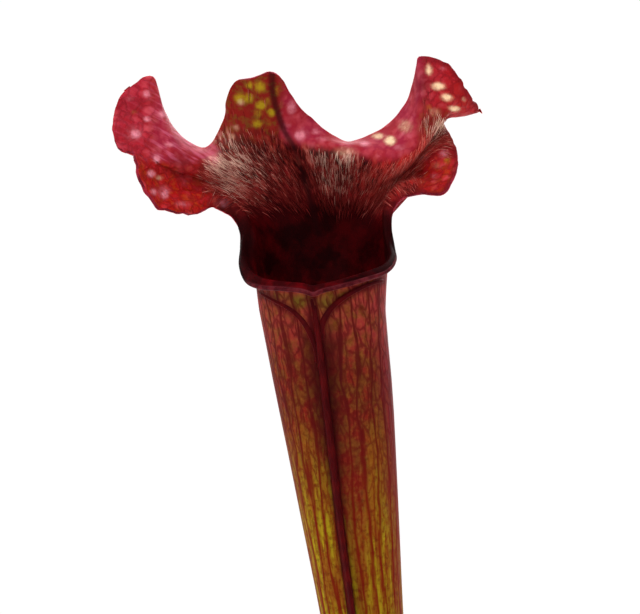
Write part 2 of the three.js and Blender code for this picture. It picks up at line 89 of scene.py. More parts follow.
# The edge of the pitcher once round: angle on the tube from the front to the left, the crest or shoulder
# that the wall passes over, and the margin where it ends.
EDGE = (
    (5, (-1.0, -16.8, 0.7), (-1.0, -18.4, -1.1)),
    (9, (-1.9, -16.8, 0.6), (-1.9, -18.4, -1.2)),
    (13, (-3.8, -16.6, 1.1), (-3.9, -18.2, -0.5)),
    (30, (-7.8, -14.6, 1.5), (-8.4, -16.0, 0.0)),
    (52, (-13.4, -10.5, 2.4), (-14.4, -11.4, 0.5)),
    (72, (-16.6, -5.6, 4.7), (-17.3, -6.4, 2.1)),
    (86, (-18.0, -1.8, 8.0), (-18.6, -2.2, 5.6)),
    (96, (-18.0, 1.6, 11.0), (-18.5, 1.6, 9.4)),
    (103, (-17.4, 4.6, 14.6), (-18.8, 4.4, 13.2)),
    (109, (-18.1, 6.5, 18.1), (-20.4, 5.8, 16.7)),
    (115, (-20.7, 6.4, 20.4), (-23.6, 4.8, 18.9)),
    (118, (-23.9, 5.6, 21.8), (-25.8, 3.4, 19.4)),
    (121, (-27.2, 4.6, 22.6), (-28.7, 1.6, 18.1)),
    (126, (-33.6, 2.4, 22.8), (-34.3, -2.0, 18.2)),
    (130, (-38.1, 1.0, 24.4), (-39.2, -5.0, 20.5)),
    (134, (-40.0, 0.6, 26.8), (-42.0, -4.6, 25.6)),
    (138, (-40.7, 0.6, 28.9), (-43.5, -2.0, 30.5)),
    (141, (-40.4, 1.0, 30.2), (-43.8, 1.0, 32.4)),
    (143, (-39.8, 1.2, 30.6), (-47.0, 2.0, 32.9)),
    (145, (-38.8, 1.5, 30.3), (-48.9, 4.5, 37.6)),
    (147, (-37.4, 1.8, 30.1), (-48.4, 7.0, 42.8)),
    (149, (-36.2, 2.1, 29.8), (-46.8, 8.5, 46.4)),
    (151, (-34.8, 2.4, 29.7), (-43.7, 10.0, 48.9)),
    (152, (-34.1, 2.6, 29.6), (-42.1, 10.8, 50.3)),
    (153, (-33.4, 2.8, 29.6), (-39.8, 11.5, 50.5)),
    (155, (-31.7, 3.2, 29.6), (-38.6, 11.5, 46.3)),
    (157, (-30.1, 3.7, 29.8), (-36.3, 11.0, 40.5)),
    (159, (-28.2, 4.3, 30.3), (-32.4, 10.3, 35.7)),
    (161.5, (-25.9, 5.0, 31.2), (-28.0, 9.8, 33.5)),
    (164, (-24.2, 5.8, 32.2), (-25.6, 9.4, 34.5)),
    (167, (-22.3, 6.8, 33.8), (-23.9, 9.2, 37.5)),
    (170, (-20.7, 7.6, 34.5), (-22.1, 8.5, 42.1)),
    (173, (-18.8, 8.0, 35.0), (-21.8, 5.6, 45.4)),
    (176, (-16.7, 8.2, 35.5), (-19.9, 2.4, 49.1)),
    (179, (-14.3, 8.3, 35.7), (-15.7, -0.4, 49.8)),
    (182, (-11.8, 8.3, 36.0), (-11.8, -1.8, 51.1)),
    (185, (-9.6, 8.3, 36.0), (-9.4, -0.8, 50.1)),
    (188, (-7.8, 8.2, 35.7), (-7.2, 2.6, 46.6)),
    (190, (-5.9, 7.8, 35.3), (-4.6, 6.0, 42.9)),
    (192, (-3.8, 7.4, 34.8), (-1.9, 9.0, 40.5)),
    (194.5, (-1.2, 7.0, 34.3), (0.7, 10.3, 38.1)),
    (197, (2.1, 6.8, 33.8), (3.8, 10.8, 36.0)),
    (199.5, (5.9, 6.6, 33.4), (6.6, 10.6, 34.9)),
    (202, (8.7, 5.8, 32.7), (9.4, 10.8, 35.6)),
    (204.5, (11.5, 4.6, 31.5), (12.0, 11.2, 36.6)),
    (206.5, (14.3, 3.4, 31.0), (14.7, 11.5, 38.1)),
    (208.5, (17.2, 2.6, 31.3), (17.2, 11.5, 40.0)),
    (210, (19.5, 2.2, 32.0), (19.4, 11.0, 42.5)),
    (211.5, (20.9, 2.2, 32.7), (21.2, 10.2, 45.6)),
    (213, (22.1, 2.4, 33.4), (22.4, 9.0, 49.4)),
    (214.5, (23.0, 2.7, 34.1), (23.1, 7.6, 53.1)),
    (216, (24.0, 3.0, 34.8), (23.6, 6.4, 55.1)),
    (217.5, (24.8, 3.4, 35.4), (26.8, 4.8, 54.8)),
    (219, (25.5, 3.9, 36.0), (30.7, 2.6, 52.8)),
    (221, (26.2, 4.5, 36.5), (33.5, 3.0, 48.9)),
    (223, (27.2, 5.4, 39.2), (35.6, 6.0, 45.6)),
    (225, (28.0, 6.4, 40.9), (37.6, 10.0, 42.4)),
    (227, (28.3, 7.2, 39.6), (31.8, 11.3, 41.7)),
    (229, (28.2, 7.6, 38.0), (28.9, 11.0, 39.7)),
    (231, (28.2, 7.0, 35.7), (30.5, 9.5, 36.9)),
    (233.5, (28.2, 5.3, 32.4), (32.4, 4.0, 32.2)),
    (236, (27.5, 4.0, 28.9), (31.6, -1.0, 26.8)),
    (238.5, (25.4, 3.8, 26.6), (28.7, -3.0, 22.6)),
    (241, (21.4, 4.8, 25.6), (23.7, 0.0, 22.6)),
    (244, (17.6, 6.0, 23.6), (19.5, 3.4, 21.5)),
    (248.5, (15.5, 6.4, 19.5), (17.3, 5.5, 18.6)),
    (255, (15.3, 4.5, 15.0), (16.8, 4.4, 14.6)),
    (265, (16.0, 1.5, 11.0), (17.3, 1.2, 9.9)),
    (279, (16.6, -2.5, 8.2), (17.6, -3.0, 6.9)),
    (296, (15.1, -7.5, 5.7), (15.6, -8.6, 4.2)),
    (322, (9.6, -13.2, 3.5), (9.9, -14.6, 2.1)),
    (345, (3.3, -16.2, 1.6), (3.1, -17.6, 0.2)),
    (361, (0.3, -16.8, 1.0), (0.3, -18.4, -0.5)),
)


class Tone(Enum):
    """Colours of the leaf's pale windows; the value is the channel of their mark."""

    PINK = 0
    CREAM = 1
    OLIVE = 2


@dataclass(frozen=True)
class PhotoView:
    """How a pixel of the photograph's 640 by 614 frame maps to the plant, for marks placed by it."""

    millimetres_a_pixel: float = 0.235
    mouth_pixel: tuple[float, float] = (320.0, 290.0)

    def place(self, pixel_x: float, pixel_y: float) -> tuple[float, float]:
        """Returns the x and z of a pixel, in mm from the mouth's centre."""
        scale = self.millimetres_a_pixel
        return (pixel_x - self.mouth_pixel[0]) * scale, (self.mouth_pixel[1] - pixel_y) * scale

    def line(self, pixels: tuple[tuple[float, float], ...]) -> np.ndarray:
        """Returns the x and z of each pixel of a line, in mm from the mouth's centre."""
        return np.array([self.place(*pixel) for pixel in pixels])


PHOTO = PhotoView()

# Pale places of the leaf by tone: the lid's largest windows, light tissue under tufts of hair, and the
# patches under the lip. Pixel x and y, half width and half height in mm, and strength.
WINDOWS = {
    Tone.PINK: (
        (145, 93, 0.75, 1.0, 0.75), (146, 94, 1.6, 2.0, 0.25), (146, 119, 0.9, 0.8, 0.7),
        (160, 114, 0.65, 1.0, 0.75), (135, 134, 1.35, 1.25, 0.8), (134, 134, 2.6, 2.2, 0.3),
        (128, 98, 1.2, 0.8, 0.3), (168, 145, 1.3, 0.6, 0.6), (156, 159, 0.85, 0.95, 0.8),
        (150, 174, 1.0, 1.0, 0.85), (153, 193, 0.75, 0.85, 0.7), (164, 195, 1.0, 1.3, 0.7),
        (163, 193, 2.0, 2.2, 0.3), (183, 181, 1.3, 1.7, 0.2), (182, 205, 2.2, 0.9, 0.35),
        (291, 106, 1.2, 1.7, 0.6), (287, 123, 1.2, 0.9, 0.3), (300, 134, 1.3, 1.2, 0.85),
        (301, 133, 2.4, 1.8, 0.3), (315, 131, 1.2, 0.9, 0.5), (322, 139, 2.0, 0.8, 0.35),
        (365, 144, 1.4, 0.75, 0.75), (400, 148, 1.6, 0.9, 0.4), (444, 68, 1.0, 0.6, 0.4),
        (425, 156, 1.3, 1.3, 0.4), (445, 154, 1.3, 1.2, 0.42), (436, 177, 1.2, 1.0, 0.25),
        (214, 160, 2.2, 2.6, 0.45), (222, 203, 2.2, 1.2, 0.3),
    ),
    Tone.CREAM: (
        (158, 178, 1.0, 0.8, 0.35), (241, 101, 1.0, 1.0, 0.4), (236, 126, 0.9, 0.9, 0.3),
        (232, 135, 0.75, 0.75, 0.4), (379, 136, 1.5, 0.85, 0.7), (391, 141, 1.3, 1.15, 1.0),
        (407, 126, 1.9, 1.9, 0.4), (430, 69, 0.85, 1.4, 0.75), (439, 86, 1.55, 0.9, 0.95),
        (447, 97, 1.3, 0.85, 0.95), (454, 107, 1.5, 0.6, 0.85), (464, 98, 0.7, 0.6, 0.4),
        (438, 166, 2.0, 1.4, 0.18), (346, 151, 3.2, 1.3, 0.3), (441, 124, 2.0, 1.3, 0.45),
        (435, 112, 1.7, 1.3, 0.3),
    ),
    Tone.OLIVE: (
        (133, 112, 1.0, 0.8, 0.25), (250, 84, 0.9, 0.95, 0.8), (260, 86, 1.3, 1.4, 0.85),
        (277, 90, 0.65, 1.2, 0.55), (240, 97, 1.5, 1.3, 0.8), (249, 97, 1.2, 1.2, 0.85),
        (261, 104, 1.2, 1.1, 1.0), (268, 99, 0.9, 0.9, 0.4), (271, 111, 1.0, 1.0, 1.0),
        (258, 112, 1.0, 1.1, 0.6), (257, 122, 1.3, 1.1, 0.75), (269, 121, 1.0, 1.0, 0.3),
        (430, 107, 0.9, 0.8, 0.3), (448, 161, 0.9, 0.9, 0.4), (299, 301, 2.4, 1.7, 0.9),
        (285, 296, 2.6, 1.0, 0.5), (325, 303, 2.2, 2.0, 0.9), (337, 297, 2.0, 1.0, 0.6),
    ),
}

# Painted shade on the lobes, under their folds and in creases: pixel x and y, reach in mm and strength.
PAINTED_SHADE_SPOTS = (
    (180, 165, 3.2, 0.8), (200, 170, 3.0, 0.5), (127, 106, 3.2, 0.5), (424, 84, 2.6, 0.7),
    (424, 98, 2.4, 0.4), (427, 178, 3.2, 0.6), (452, 152, 2.0, 0.5),
)

# The nerves that leave the wing: two end at the lip's sides, one at its front.
NERVE_PIXELS = {
    "left": ((263, 293), (275, 300), (290, 309), (302, 320), (310, 333), (316, 347), (319, 362)),
    "right": ((380, 281), (371, 283), (357, 289), (341, 299), (329, 311), (322, 324), (320, 340)),
    "middle": ((312, 299), (313, 306), (315, 318), (317, 331), (318, 345), (319, 362)),
}

# Small dry points of the lid's margin, from their root to their end.
TIP_PIXELS = {
    "left": ((129, 88), (126, 89.5), (122.5, 91.5)),
    "right": ((478.5, 108), (480.5, 110), (482, 112)),
}

# Where the lid's hairs are palest: pixel x and y, reach in mm and strength.
TUFTS = (
    (215, 159, 3.0, 1.0), (346, 151, 3.2, 0.85), (238, 171, 7.0, 0.35), (332, 168, 6.0, 0.35),
    (227, 136, 4.0, 0.6), (233, 160, 4.0, 0.8), (226, 176, 4.5, 0.6), (441, 121, 3.0, 0.75),
    (431, 123, 3.2, 0.45), (322, 154, 4.0, 0.4),
)

# Crimson flush of the lid's fur, with painted light in its shaded creases: pixel x and y, reach in mm and
# strength.
CRIMSON_AND_PAINTED_LIGHT_SPOTS = (
    (426, 148, 4.5, 1.0), (408, 162, 5.5, 1.0), (394, 174, 5.5, 0.9), (374, 182, 5.0, 0.4),
    (206, 180, 3.5, 0.6), (228, 184, 5.0, 0.35),
)

# The crease up the middle of the lid's inner face, from the throat to the middle lobe's tip; its dark is
# painted shade.
MIDRIB_PIXELS = (
    (320, 240), (313, 210), (306, 183), (300, 162), (296, 150), (291, 140), (284, 129), (279, 116),
    (275, 103), (272, 88), (272, 73),
)


def linear(code: str) -> tuple[float, float, float, float]:
    """Turns an sRGB hex colour into a linear one.

    Args:
        code: The colour as "#rrggbb".

    Returns:
        Red, green, blue and alpha as linear numbers.
    """
    parts = [int(code[i : i + 2], 16) / 255 for i in (1, 3, 5)]
    return (*[p / 12.92 if p <= 0.04045 else ((p + 0.055) / 1.055) ** 2.4 for p in parts], 1.0)


def smooth_step(value: np.ndarray | float, start: float, end: float) -> np.ndarray:
    """Returns a smooth step from 0 at start to 1 at end."""
    share = np.clip((np.asarray(value, float) - start) / (end - start), 0.0, 1.0)
    return share * share * (3 - 2 * share)


def soft_range(value: np.ndarray, start: float, full: float, fading: float, end: float) -> np.ndarray:
    """Returns 1 from full to fading and 0 outside start and end, smooth between them."""
    return smooth_step(value, start, full) * (1 - smooth_step(value, fading, end))


def smooth_rows(knots: np.ndarray, rows: np.ndarray, at: np.ndarray) -> np.ndarray:
    """Draws a smooth curve through rows of numbers.

    Args:
        knots: The rising place of each row along the curve.
        rows: The rows, one for each knot.
        at: The places to read.

    Returns:
        One row for each place.
    """
    slopes = np.diff(rows, axis=0) / np.diff(knots)[:, None]
    gaps = np.diff(knots)[:, None]
    inner = (slopes[:-1] * gaps[1:] + slopes[1:] * gaps[:-1]) / (gaps[1:] + gaps[:-1])
    tangents = np.vstack([slopes[:1], inner, slopes[-1:]])
    part = np.clip(np.searchsorted(knots, at, side="right") - 1, 0, len(knots) - 2)
    gap = gaps[part]
    t = ((at - knots[part]) / gaps[part, 0])[:, None]
    low, high = rows[part], rows[part + 1]
    return (
        low * (2 * t**3 - 3 * t**2 + 1)
        + high * (3 * t**2 - 2 * t**3)
        + tangents[part] * gap * (t**3 - 2 * t**2 + t)
        + tangents[part + 1] * gap * (t**3 - t**2)
    )


def tube_at(heights: np.ndarray) -> np.ndarray:
    """Returns the tube's table at each height, and its last row for heights above it."""
    table = np.array(TUBE, float)
    return smooth_rows(table[:, 0], table, np.minimum(heights, table[-1, 0]))


def distance_along(line: np.ndarray) -> np.ndarray:
    """Returns how far along a line of points each of them lies."""
    return np.concatenate([[0.0], np.cumsum(np.linalg.norm(np.diff(line, axis=0), axis=1))])


def around(angle: np.ndarray, radius: np.ndarray | float) -> np.ndarray:
    """Returns points on a level circle, at angles that run from the front (-Y) to the left (-X)."""
    turn = np.radians(angle)
    return np.stack([-radius * np.sin(turn), -radius * np.cos(turn), 0 * turn], axis=-1)


def unit(vectors: np.ndarray) -> np.ndarray:
    """Returns the vectors at length one."""
    return vectors / np.maximum(np.linalg.norm(vectors, axis=-1, keepdims=True), 1e-9)


def curve_point(rows: np.ndarray, t: float) -> np.ndarray:
    """Returns where smooth curves through four rows of points lie between the second row and the third.

    Args:
        rows: The four rows. Each column of points is one curve.
        t: How far from the second row to the third, from 0 to 1.
    """
    p0, p1, p2, p3 = rows
    gaps = [
        np.maximum(np.linalg.norm(b - a, axis=1, keepdims=True) ** 0.5, 1e-4)
        for a, b in ((p0, p1), (p1, p2), (p2, p3))
    ]
    start = (p1 - p0) / gaps[0] - (p2 - p0) / (gaps[0] + gaps[1]) + (p2 - p1) / gaps[1]
    end = (p2 - p1) / gaps[1] - (p3 - p1) / (gaps[1] + gaps[2]) + (p3 - p2) / gaps[2]
    start, end = start * gaps[1], end * gaps[1]
    square = 3 * (p2 - p1) - 2 * start - end
    cube = 2 * (p1 - p2) + start + end
    return p1 + start * t + square * t**2 + cube * t**3


def front_view(points: np.ndarray) -> tuple[np.ndarray, np.ndarray]:
    """Returns x and z of points, from the mouth's centre."""
    return points[..., 0] - MOUTH[0], points[..., 2] - MOUTH[2]


def spot_share(points: np.ndarray, spots: tuple[tuple[float, ...], ...]) -> np.ndarray:
    """Returns how far each point lies in a table's soft round spots, seen from the front, from 0 to 1."""
    x, z = front_view(points)
    share = 0 * x
    for pixel_x, pixel_y, reach, strength in spots:
        centre = PHOTO.place(pixel_x, pixel_y)
        far = np.hypot(x - centre[0], z - centre[1]) / reach
        share = np.maximum(share, strength * np.exp(-far * far))
    return share


@dataclass
class Sheet:
    """A grid of points in mm, rows by columns, with what its finish reads at each corner.

    A closed sheet has its first column again as its last.
    """

    points: np.ndarray
    marks: dict[str, np.ndarray] = field(default_factory=dict)
    closed: bool = True

    def normals(self) -> np.ndarray:
        """Returns the outward direction at each point of a closed sheet that runs clockwise from above."""
        up = np.gradient(self.points, axis=0)
        ring = self.points[:, :-1]
        along = np.roll(ring, -1, axis=1) - np.roll(ring, 1, axis=1)
        along = np.concatenate([along, along[:, :1]], axis=1)
        return unit(np.cross(up, along))


def link_mesh(name: str, mesh: Mesh) -> Object:
    """Returns a new object of a mesh, at the origin and linked to the scene."""
    piece = bpy.data.objects.new(name, mesh)
    bpy.context.scene.collection.objects.link(piece)
    return piece


def mesh_object(name: str, shape: BMesh, materials: list[Material]) -> Object:
    """Makes a smooth-shaded object of a bmesh and frees it.

    Args:
        name: The piece's name.
        shape: The mesh, in metres.
        materials: The finishes of its material slots, in order.

    Returns:
        The new object, at the origin and linked to the scene.
    """
    for face in shape.faces:
        face.smooth = True
    mesh = bpy.data.meshes.new(name)
    shape.to_mesh(mesh)
    shape.free()
    for material in materials:
        mesh.materials.append(material)
    return link_mesh(name, mesh)


def small_shape(shape: BMesh) -> tuple[np.ndarray, np.ndarray]:
    """Returns a small mesh's points and the corners of its faces, and frees it."""
    points = np.array([vert.co[:] for vert in shape.verts])
    faces = np.array([[vert.index for vert in face.verts] for face in shape.faces])
    shape.free()
    return points, faces


def copies_mesh(name: str, copies: np.ndarray, faces: np.ndarray) -> Mesh:
    """Makes one mesh of many copies of a small shape.

    Args:
        name: The mesh's name.
        copies: The points in mm, copy by copy.
        faces: The corners of one copy's faces.

    Returns:
        The mesh, in metres.
    """
    firsts = np.arange(len(copies)) * copies.shape[1]
    all_faces = (faces[None] + firsts[:, None, None]).reshape(-1, faces.shape[1])
    mesh = bpy.data.meshes.new(name)
    mesh.from_pydata((copies.reshape(-1, 3) * MM).tolist(), [], all_faces.tolist())
    return mesh


def sheet_bmesh(sheet: Sheet, capped: bool = False) -> BMesh:
    """Bends a flat grid into a sheet, tube or closed body.

    Args:
        sheet: The grid's points and marks.
        capped: Whether the first and last rows are closed, for a solid body.

    Returns:
        The bent mesh, its seam merged.
    """
    rows, columns = sheet.points.shape[:2]
    shape = bmesh.new()
    bmesh.ops.create_grid(shape, x_segments=columns - 1, y_segments=rows - 1, size=1)
    shape.verts.ensure_lookup_table()
    column = [columns - 1 - round((v.co.x + 1) / 2 * (columns - 1)) for v in shape.verts]
    row = [round((v.co.y + 1) / 2 * (rows - 1)) for v in shape.verts]
    for name, values in sheet.marks.items():
        layer = shape.loops.layers.float_vector.new(name)
        for face in shape.faces:
            for loop in face.loops:
                i = loop.vert.index
                loop[layer] = values[row[i], column[i]]
    for vert, i, j in zip(shape.verts, row, column):
        vert.co = sheet.points[i, j] * MM
    if sheet.closed:
        bmesh.ops.remove_doubles(shape, verts=shape.verts, dist=1e-7)
    if capped:
        rim = [edge for edge in shape.edges if edge.is_boundary]
        bmesh.ops.holes_fill(shape, edges=rim, sides=0)
        bmesh.ops.recalc_face_normals(shape, faces=shape.faces)
    return shape


def rod(path: np.ndarray, out: np.ndarray, width: np.ndarray, height: np.ndarray, sides: int = 10) -> Sheet:
    """Lays an oval rod along a path, for a nerve, rib or roll.

    Args:
        path: Points of the rod's middle, in mm.
        out: The direction that its height is measured in, at each point.
        width: Half width across the path at each point.
        height: Half height at each point.
        sides: The number of its sides.

    Returns:
        The rod's sheet, ring by ring.
    """
    along = unit(np.gradient(path, axis=0))
    across = unit(np.cross(along, out))
    upward = unit(np.cross(across, along))
    turn = np.linspace(0, 2 * np.pi, sides + 1)
    ring = across[:, None] * (np.cos(turn)[None, :, None] * width[:, None, None])
    ring = ring + upward[:, None] * (np.sin(turn)[None, :, None] * height[:, None, None])
    points = path[:, None] + ring
    points[:, -1] = points[:, 0]
    return Sheet(points)


def add_node(
    tree: NodeTree, kind: str, settings: dict | None = None, inputs: dict | None = None
) -> Node:
    """Adds one node with its settings, and fills or links its inputs.

    Args:
        tree: The material's or world's node tree.
        kind: The node's type, without its "ShaderNode" prefix.
        settings: The node's own options.
        inputs: A value, a socket or a node for each input, by the input's name or by its place among those
            in use.

    Returns:
        The new node.
    """
    node = tree.nodes.new("ShaderNode" + kind)
    for name, value in (settings or {}).items():
        setattr(node, name, value)
    used = [socket for socket in node.inputs if socket.enabled]
    for key, value in (inputs or {}).items():
        socket = used[key] if isinstance(key, int) else next(s for s in used if s.name == key)
        if isinstance(value, Node):
            value = next(output for output in value.outputs if output.enabled)
        if isinstance(value, NodeSocket):
            tree.links.new(value, socket)
        else:
            socket.default_value = value
    return node


class Tissue:
    """A material's nodes in the making, with the few sums that plant patterns are built of."""

    def __init__(self, name: str) -> None:
        """Starts a material that holds only its output."""
        self.material = bpy.data.materials.new(name)
        self.material.use_nodes = True
        self.tree = self.material.node_tree
        self.tree.nodes.clear()
        self.output = add_node(self.tree, "OutputMaterial")

    def add(self, kind: str, settings: dict | None = None, inputs: dict | None = None) -> Node:
        """Adds one node to this material."""
        return add_node(self.tree, kind, settings, inputs)

    def sum(self, operation: str, *values: object) -> Node:
        """Returns the result of one arithmetic operation on values or nodes."""
        return self.add("Math", {"operation": operation}, dict(enumerate(values)))

    def times(self, *values: object) -> Node:
        """Returns the product of values or nodes."""
        product, *others = values
        for value in others:
            product = self.sum("MULTIPLY", product, value)
        return product

    def scaled(self, value: object, factor: object, added: object) -> Node:
        """Returns a value times a factor, and something added to that."""
        return self.sum("MULTIPLY_ADD", value, factor, added)

    def between(self, value: object, start: float, end: float) -> Node:
        """Returns a smooth step of a value, from 0 at start to 1 at end."""
        swapped = start > end
        limits = {"From Min": min(start, end), "From Max": max(start, end)}
        results = {"To Min": 1.0, "To Max": 0.0} if swapped else {"To Min": 0.0, "To Max": 1.0}
        inputs = {"Value": value, **limits, **results}
        return self.add("MapRange", {"interpolation_type": "SMOOTHSTEP"}, inputs)

    def blend(self, share: object, first: object, second: object) -> NodeSocket:
        """Returns the colour between first and second at a share of 0 to 1."""
        colours = [linear(c) if isinstance(c, str) else c for c in (first, second)]
        inputs = {"Factor": share, "A": colours[0], "B": colours[1]}
        mix = self.add("Mix", {"data_type": "RGBA"}, inputs)
        return next(output for output in mix.outputs if output.enabled)

    def toward(self, colour: object, other: object, *shares: object) -> NodeSocket:
        """Returns a colour moved toward another by the product of shares of 0 to 1."""
        return self.blend(self.times(*shares), colour, other)

    def place(self) -> NodeSocket:
        """Returns the place on the object, in metres."""
        return self.add("TexCoord").outputs["Object"]

    def point(self, x: object, y: object, z: float = 0.0) -> Node:
        """Returns the vector of three values or nodes."""
        return self.add("CombineXYZ", None, {"X": x, "Y": y, "Z": z})

    def parts(self, vector: object) -> list[NodeSocket]:
        """Returns the x, y and z of a vector."""
        return list(self.add("SeparateXYZ", None, {"Vector": vector}).outputs)

    def mark(self, name: str) -> list[NodeSocket]:
        """Returns the three numbers of a piece's own mark."""
        return self.parts(self.add("Attribute", {"attribute_name": name}).outputs["Vector"])

    def noise(self, vector: object, size: float, detail: float = 2.0) -> NodeSocket:
        """Returns a noise from 0 to 1 whose blotches are about size across, in the vector's unit."""
        settings = {"Vector": vector, "Scale": 1 / size, "Detail": detail, "Roughness": 0.55}
        return self.add("TexNoise", None, settings).outputs[0]

    def finish(self, colour: object, height: object, depth: float, values: dict) -> Material:
        """Closes the material with a Principled shader.

        Args:
            colour: The base colour.
            height: The relief, from 0 to 1, or None for none.
            depth: The relief's depth in mm.
            values: The shader's other inputs.

        Returns:
            The finished material.
        """
        inputs = {"Base Color": colour, **values}
        if height is not None:
            bump = self.add("Bump", None, {"Strength": 1.0, "Distance": depth * MM, "Height": height})
            inputs["Normal"] = bump
        shader = self.add("BsdfPrincipled", None, inputs)
        self.tree.links.new(shader.outputs[0], self.output.inputs["Surface"])
        return self.material


# Living leaf tissue lets light in and spreads it, red light furthest.
LEAF_LIGHT = {
    "IOR": 1.42,
    "Specular IOR Level": 0.12,
    "Subsurface Weight": 0.6,
    "Subsurface Radius": (1.0, 0.3, 0.24),
    "Subsurface Scale": 1.3 * MM,
}


@dataclass(frozen=True)
class TubeSkin:
    """Waxy outer skin of the pitcher: red veins in a net over rusty tissue that turns olive lower down."""

    brown: str = "#663414"
    rust: str = "#701d14"
    rose: str = "#66131f"
    ochre: str = "#7c4a10"
    olive: str = "#948412"
    green: str = "#6f8430"
    dark_speck: str = "#4a140a"
    light_speck: str = "#8c5a20"
    # Rosy lift under the lip: painted light against the shade that the lip casts.
    under_lip_painted_light: str = "#a83c38"
    lip_patch: str = "#625814"
    vein: str = "#480a0c"
    low_vein: str = "#660c08"
    # Dark of the nerves' own tissue, also used for the painted shade beside the wing.
    nerve: str = "#38070a"
    foot: str = "#6d3a3a"
    hood: str = "#96303e"
    hood_margin: str = "#380c18"
    girth: float = 95.5
    front: float = 1.86
    # Families of veins: spacing, half width, wander to the sides and length of a bend, in mm.
    strong_veins: tuple[float, ...] = (4.3, 0.8, 6.5, 18.0)
    middle_veins: tuple[float, ...] = (2.7, 0.42, 6.0, 11.0)

    def veins(self, t: Tissue, across: object, along: object, family: tuple[float, ...]) -> Node:
        """Returns one family of lengthwise veins, from 0 to 1.

        Args:
            t: The material in the making.
            across: The place round the tube, in mm.
            along: The place up the tube, in mm.
            family: The family's measures.
        """
        spacing, half_width, wander, reach = family
        flow = t.point(t.sum("DIVIDE", across, 4.0), t.sum("DIVIDE", along, reach), spacing)
        drift = t.sum("SUBTRACT", t.noise(flow, 1.0, 3.0), 0.5)
        moved = t.scaled(drift, wander, across)
        share = t.sum("FRACT", t.sum("DIVIDE", moved, spacing))
        offset = t.times(t.sum("ABSOLUTE", t.sum("SUBTRACT", share, 0.5)), spacing)
        wider = t.scaled(t.between(along, -20.0, -60.0), 0.5, 1.0)
        return t.between(t.sum("DIVIDE", offset, wider), half_width, 0.1 * half_width)

    def net(self, t: Tissue, across: object, along: object) -> Node:
        """Returns the fine net between the long veins, from 0 to 1."""
        flow = t.point(t.sum("DIVIDE", across, 2.6), t.sum("DIVIDE", along, 5.0))
        bend = t.add("TexNoise", None, {"Vector": flow, "Scale": 1.0, "Detail": 3.0}).outputs["Color"]
        place = t.point(t.sum("DIVIDE", across, 2.9), t.sum("DIVIDE", along, 5.0))
        shift = t.add("VectorMath", {"operation": "SCALE"}, {0: bend, "Scale": 1.1})
        warped = t.add("VectorMath", {"operation": "ADD"}, {0: place, 1: shift})
        cells = {"feature": "DISTANCE_TO_EDGE", "voronoi_dimensions": "2D"}
        edge = t.add("TexVoronoi", cells, {"Vector": warped, "Scale": 1.0, "Randomness": 1.0})
        return t.between(edge.outputs["Distance"], 0.2, 0.0)

    def tissue(self, t: Tissue, along: object, across: object, blotch: object) -> NodeSocket:
        """Returns the colour between the veins, from brown and rust under the lip to green at the foot."""
        strip = t.point(t.sum("DIVIDE", across, 2.3), t.sum("DIVIDE", along, 15.0))
        strips = t.noise(strip, 1.0, 3.0)
        upper = t.blend(t.between(blotch, 0.4, 0.62), self.brown, self.rust)
        lower = t.blend(t.between(strips, 0.42, 0.62), self.ochre, self.olive)
        reach = t.scaled(t.sum("SUBTRACT", strips, 0.5), 70.0, along)
        red_side = t.times(t.between(across, self.girth - 10.0, self.girth - 5.0), 18.0)
        lowness = t.between(t.sum("ADD", reach, red_side), -24.0, -55.0)
        colour = t.blend(lowness, upper, lower)
        return t.blend(t.between(along, -90.0, -190.0), colour, self.green)

    def build(self) -> Material:
        """Returns the finished material."""
        t = Tissue("waxy_pitcher_skin")
        across, along, margin = t.mark("wall")
        place = t.place()
        blotch = t.noise(place, 3.2 * MM, 3.0)
        colour = self.tissue(t, along, across, blotch)
        speck = t.noise(place, 1.1 * MM, 4.0)
        colour = t.toward(colour, self.dark_speck, t.between(speck, 0.52, 0.34), 0.5)
        colour = t.toward(colour, self.light_speck, t.between(speck, 0.5, 0.7), 0.3)
        hood = t.between(along, 3.0, 12.0)
        colour = t.blend(hood, colour, self.hood)
        from_front = t.sum("PINGPONG", t.sum("SUBTRACT", across, self.front), self.girth / 2)
        uneven = t.scaled(t.noise(place, 9.0 * MM, 3.0), 14.0, from_front)
        side = t.between(t.sum("DIVIDE", uneven, self.girth), 0.21, 0.31)
        colour = t.toward(colour, self.rose, side, t.between(along, -130.0, -30.0), 0.8)
        # Painted light: a rosy lift just under the lip, against the shade that the lip casts.
        top = t.times(t.between(along, -22.0, -3.0), t.between(blotch, 0.3, 0.55))
        colour = t.toward(colour, self.under_lip_painted_light, top, 0.42)
        under_lip = t.times(t.mark("windows")[Tone.OLIVE.value], t.between(along, 1.0, -1.0))
        front = t.times(t.between(from_front, 24.0, 18.0), 0.85)
        colour = t.toward(colour, self.lip_patch, under_lip, front)
        strong = self.veins(t, across, along, self.strong_veins)
        middle = self.veins(t, across, along, self.middle_veins)
        net = t.times(self.net(t, across, along), t.between(along, -140.0, -10.0))
        faint = t.times(t.between(blotch, 0.35, 0.6), 0.75)
        veins = t.sum("MAXIMUM", t.times(strong, 0.9), t.times(middle, faint))
        veins = t.sum("MAXIMUM", veins, t.times(net, 0.7))
        fading = t.sum("SUBTRACT", 1.0, t.times(t.between(along, -150.0, -260.0), 0.6))
        vein = t.blend(t.between(along, -20.0, -60.0), self.vein, self.low_vein)
        colour = t.toward(colour, vein, veins, fading)
        nerve = t.between(t.mark("details")[0], 1.9, 0.3)
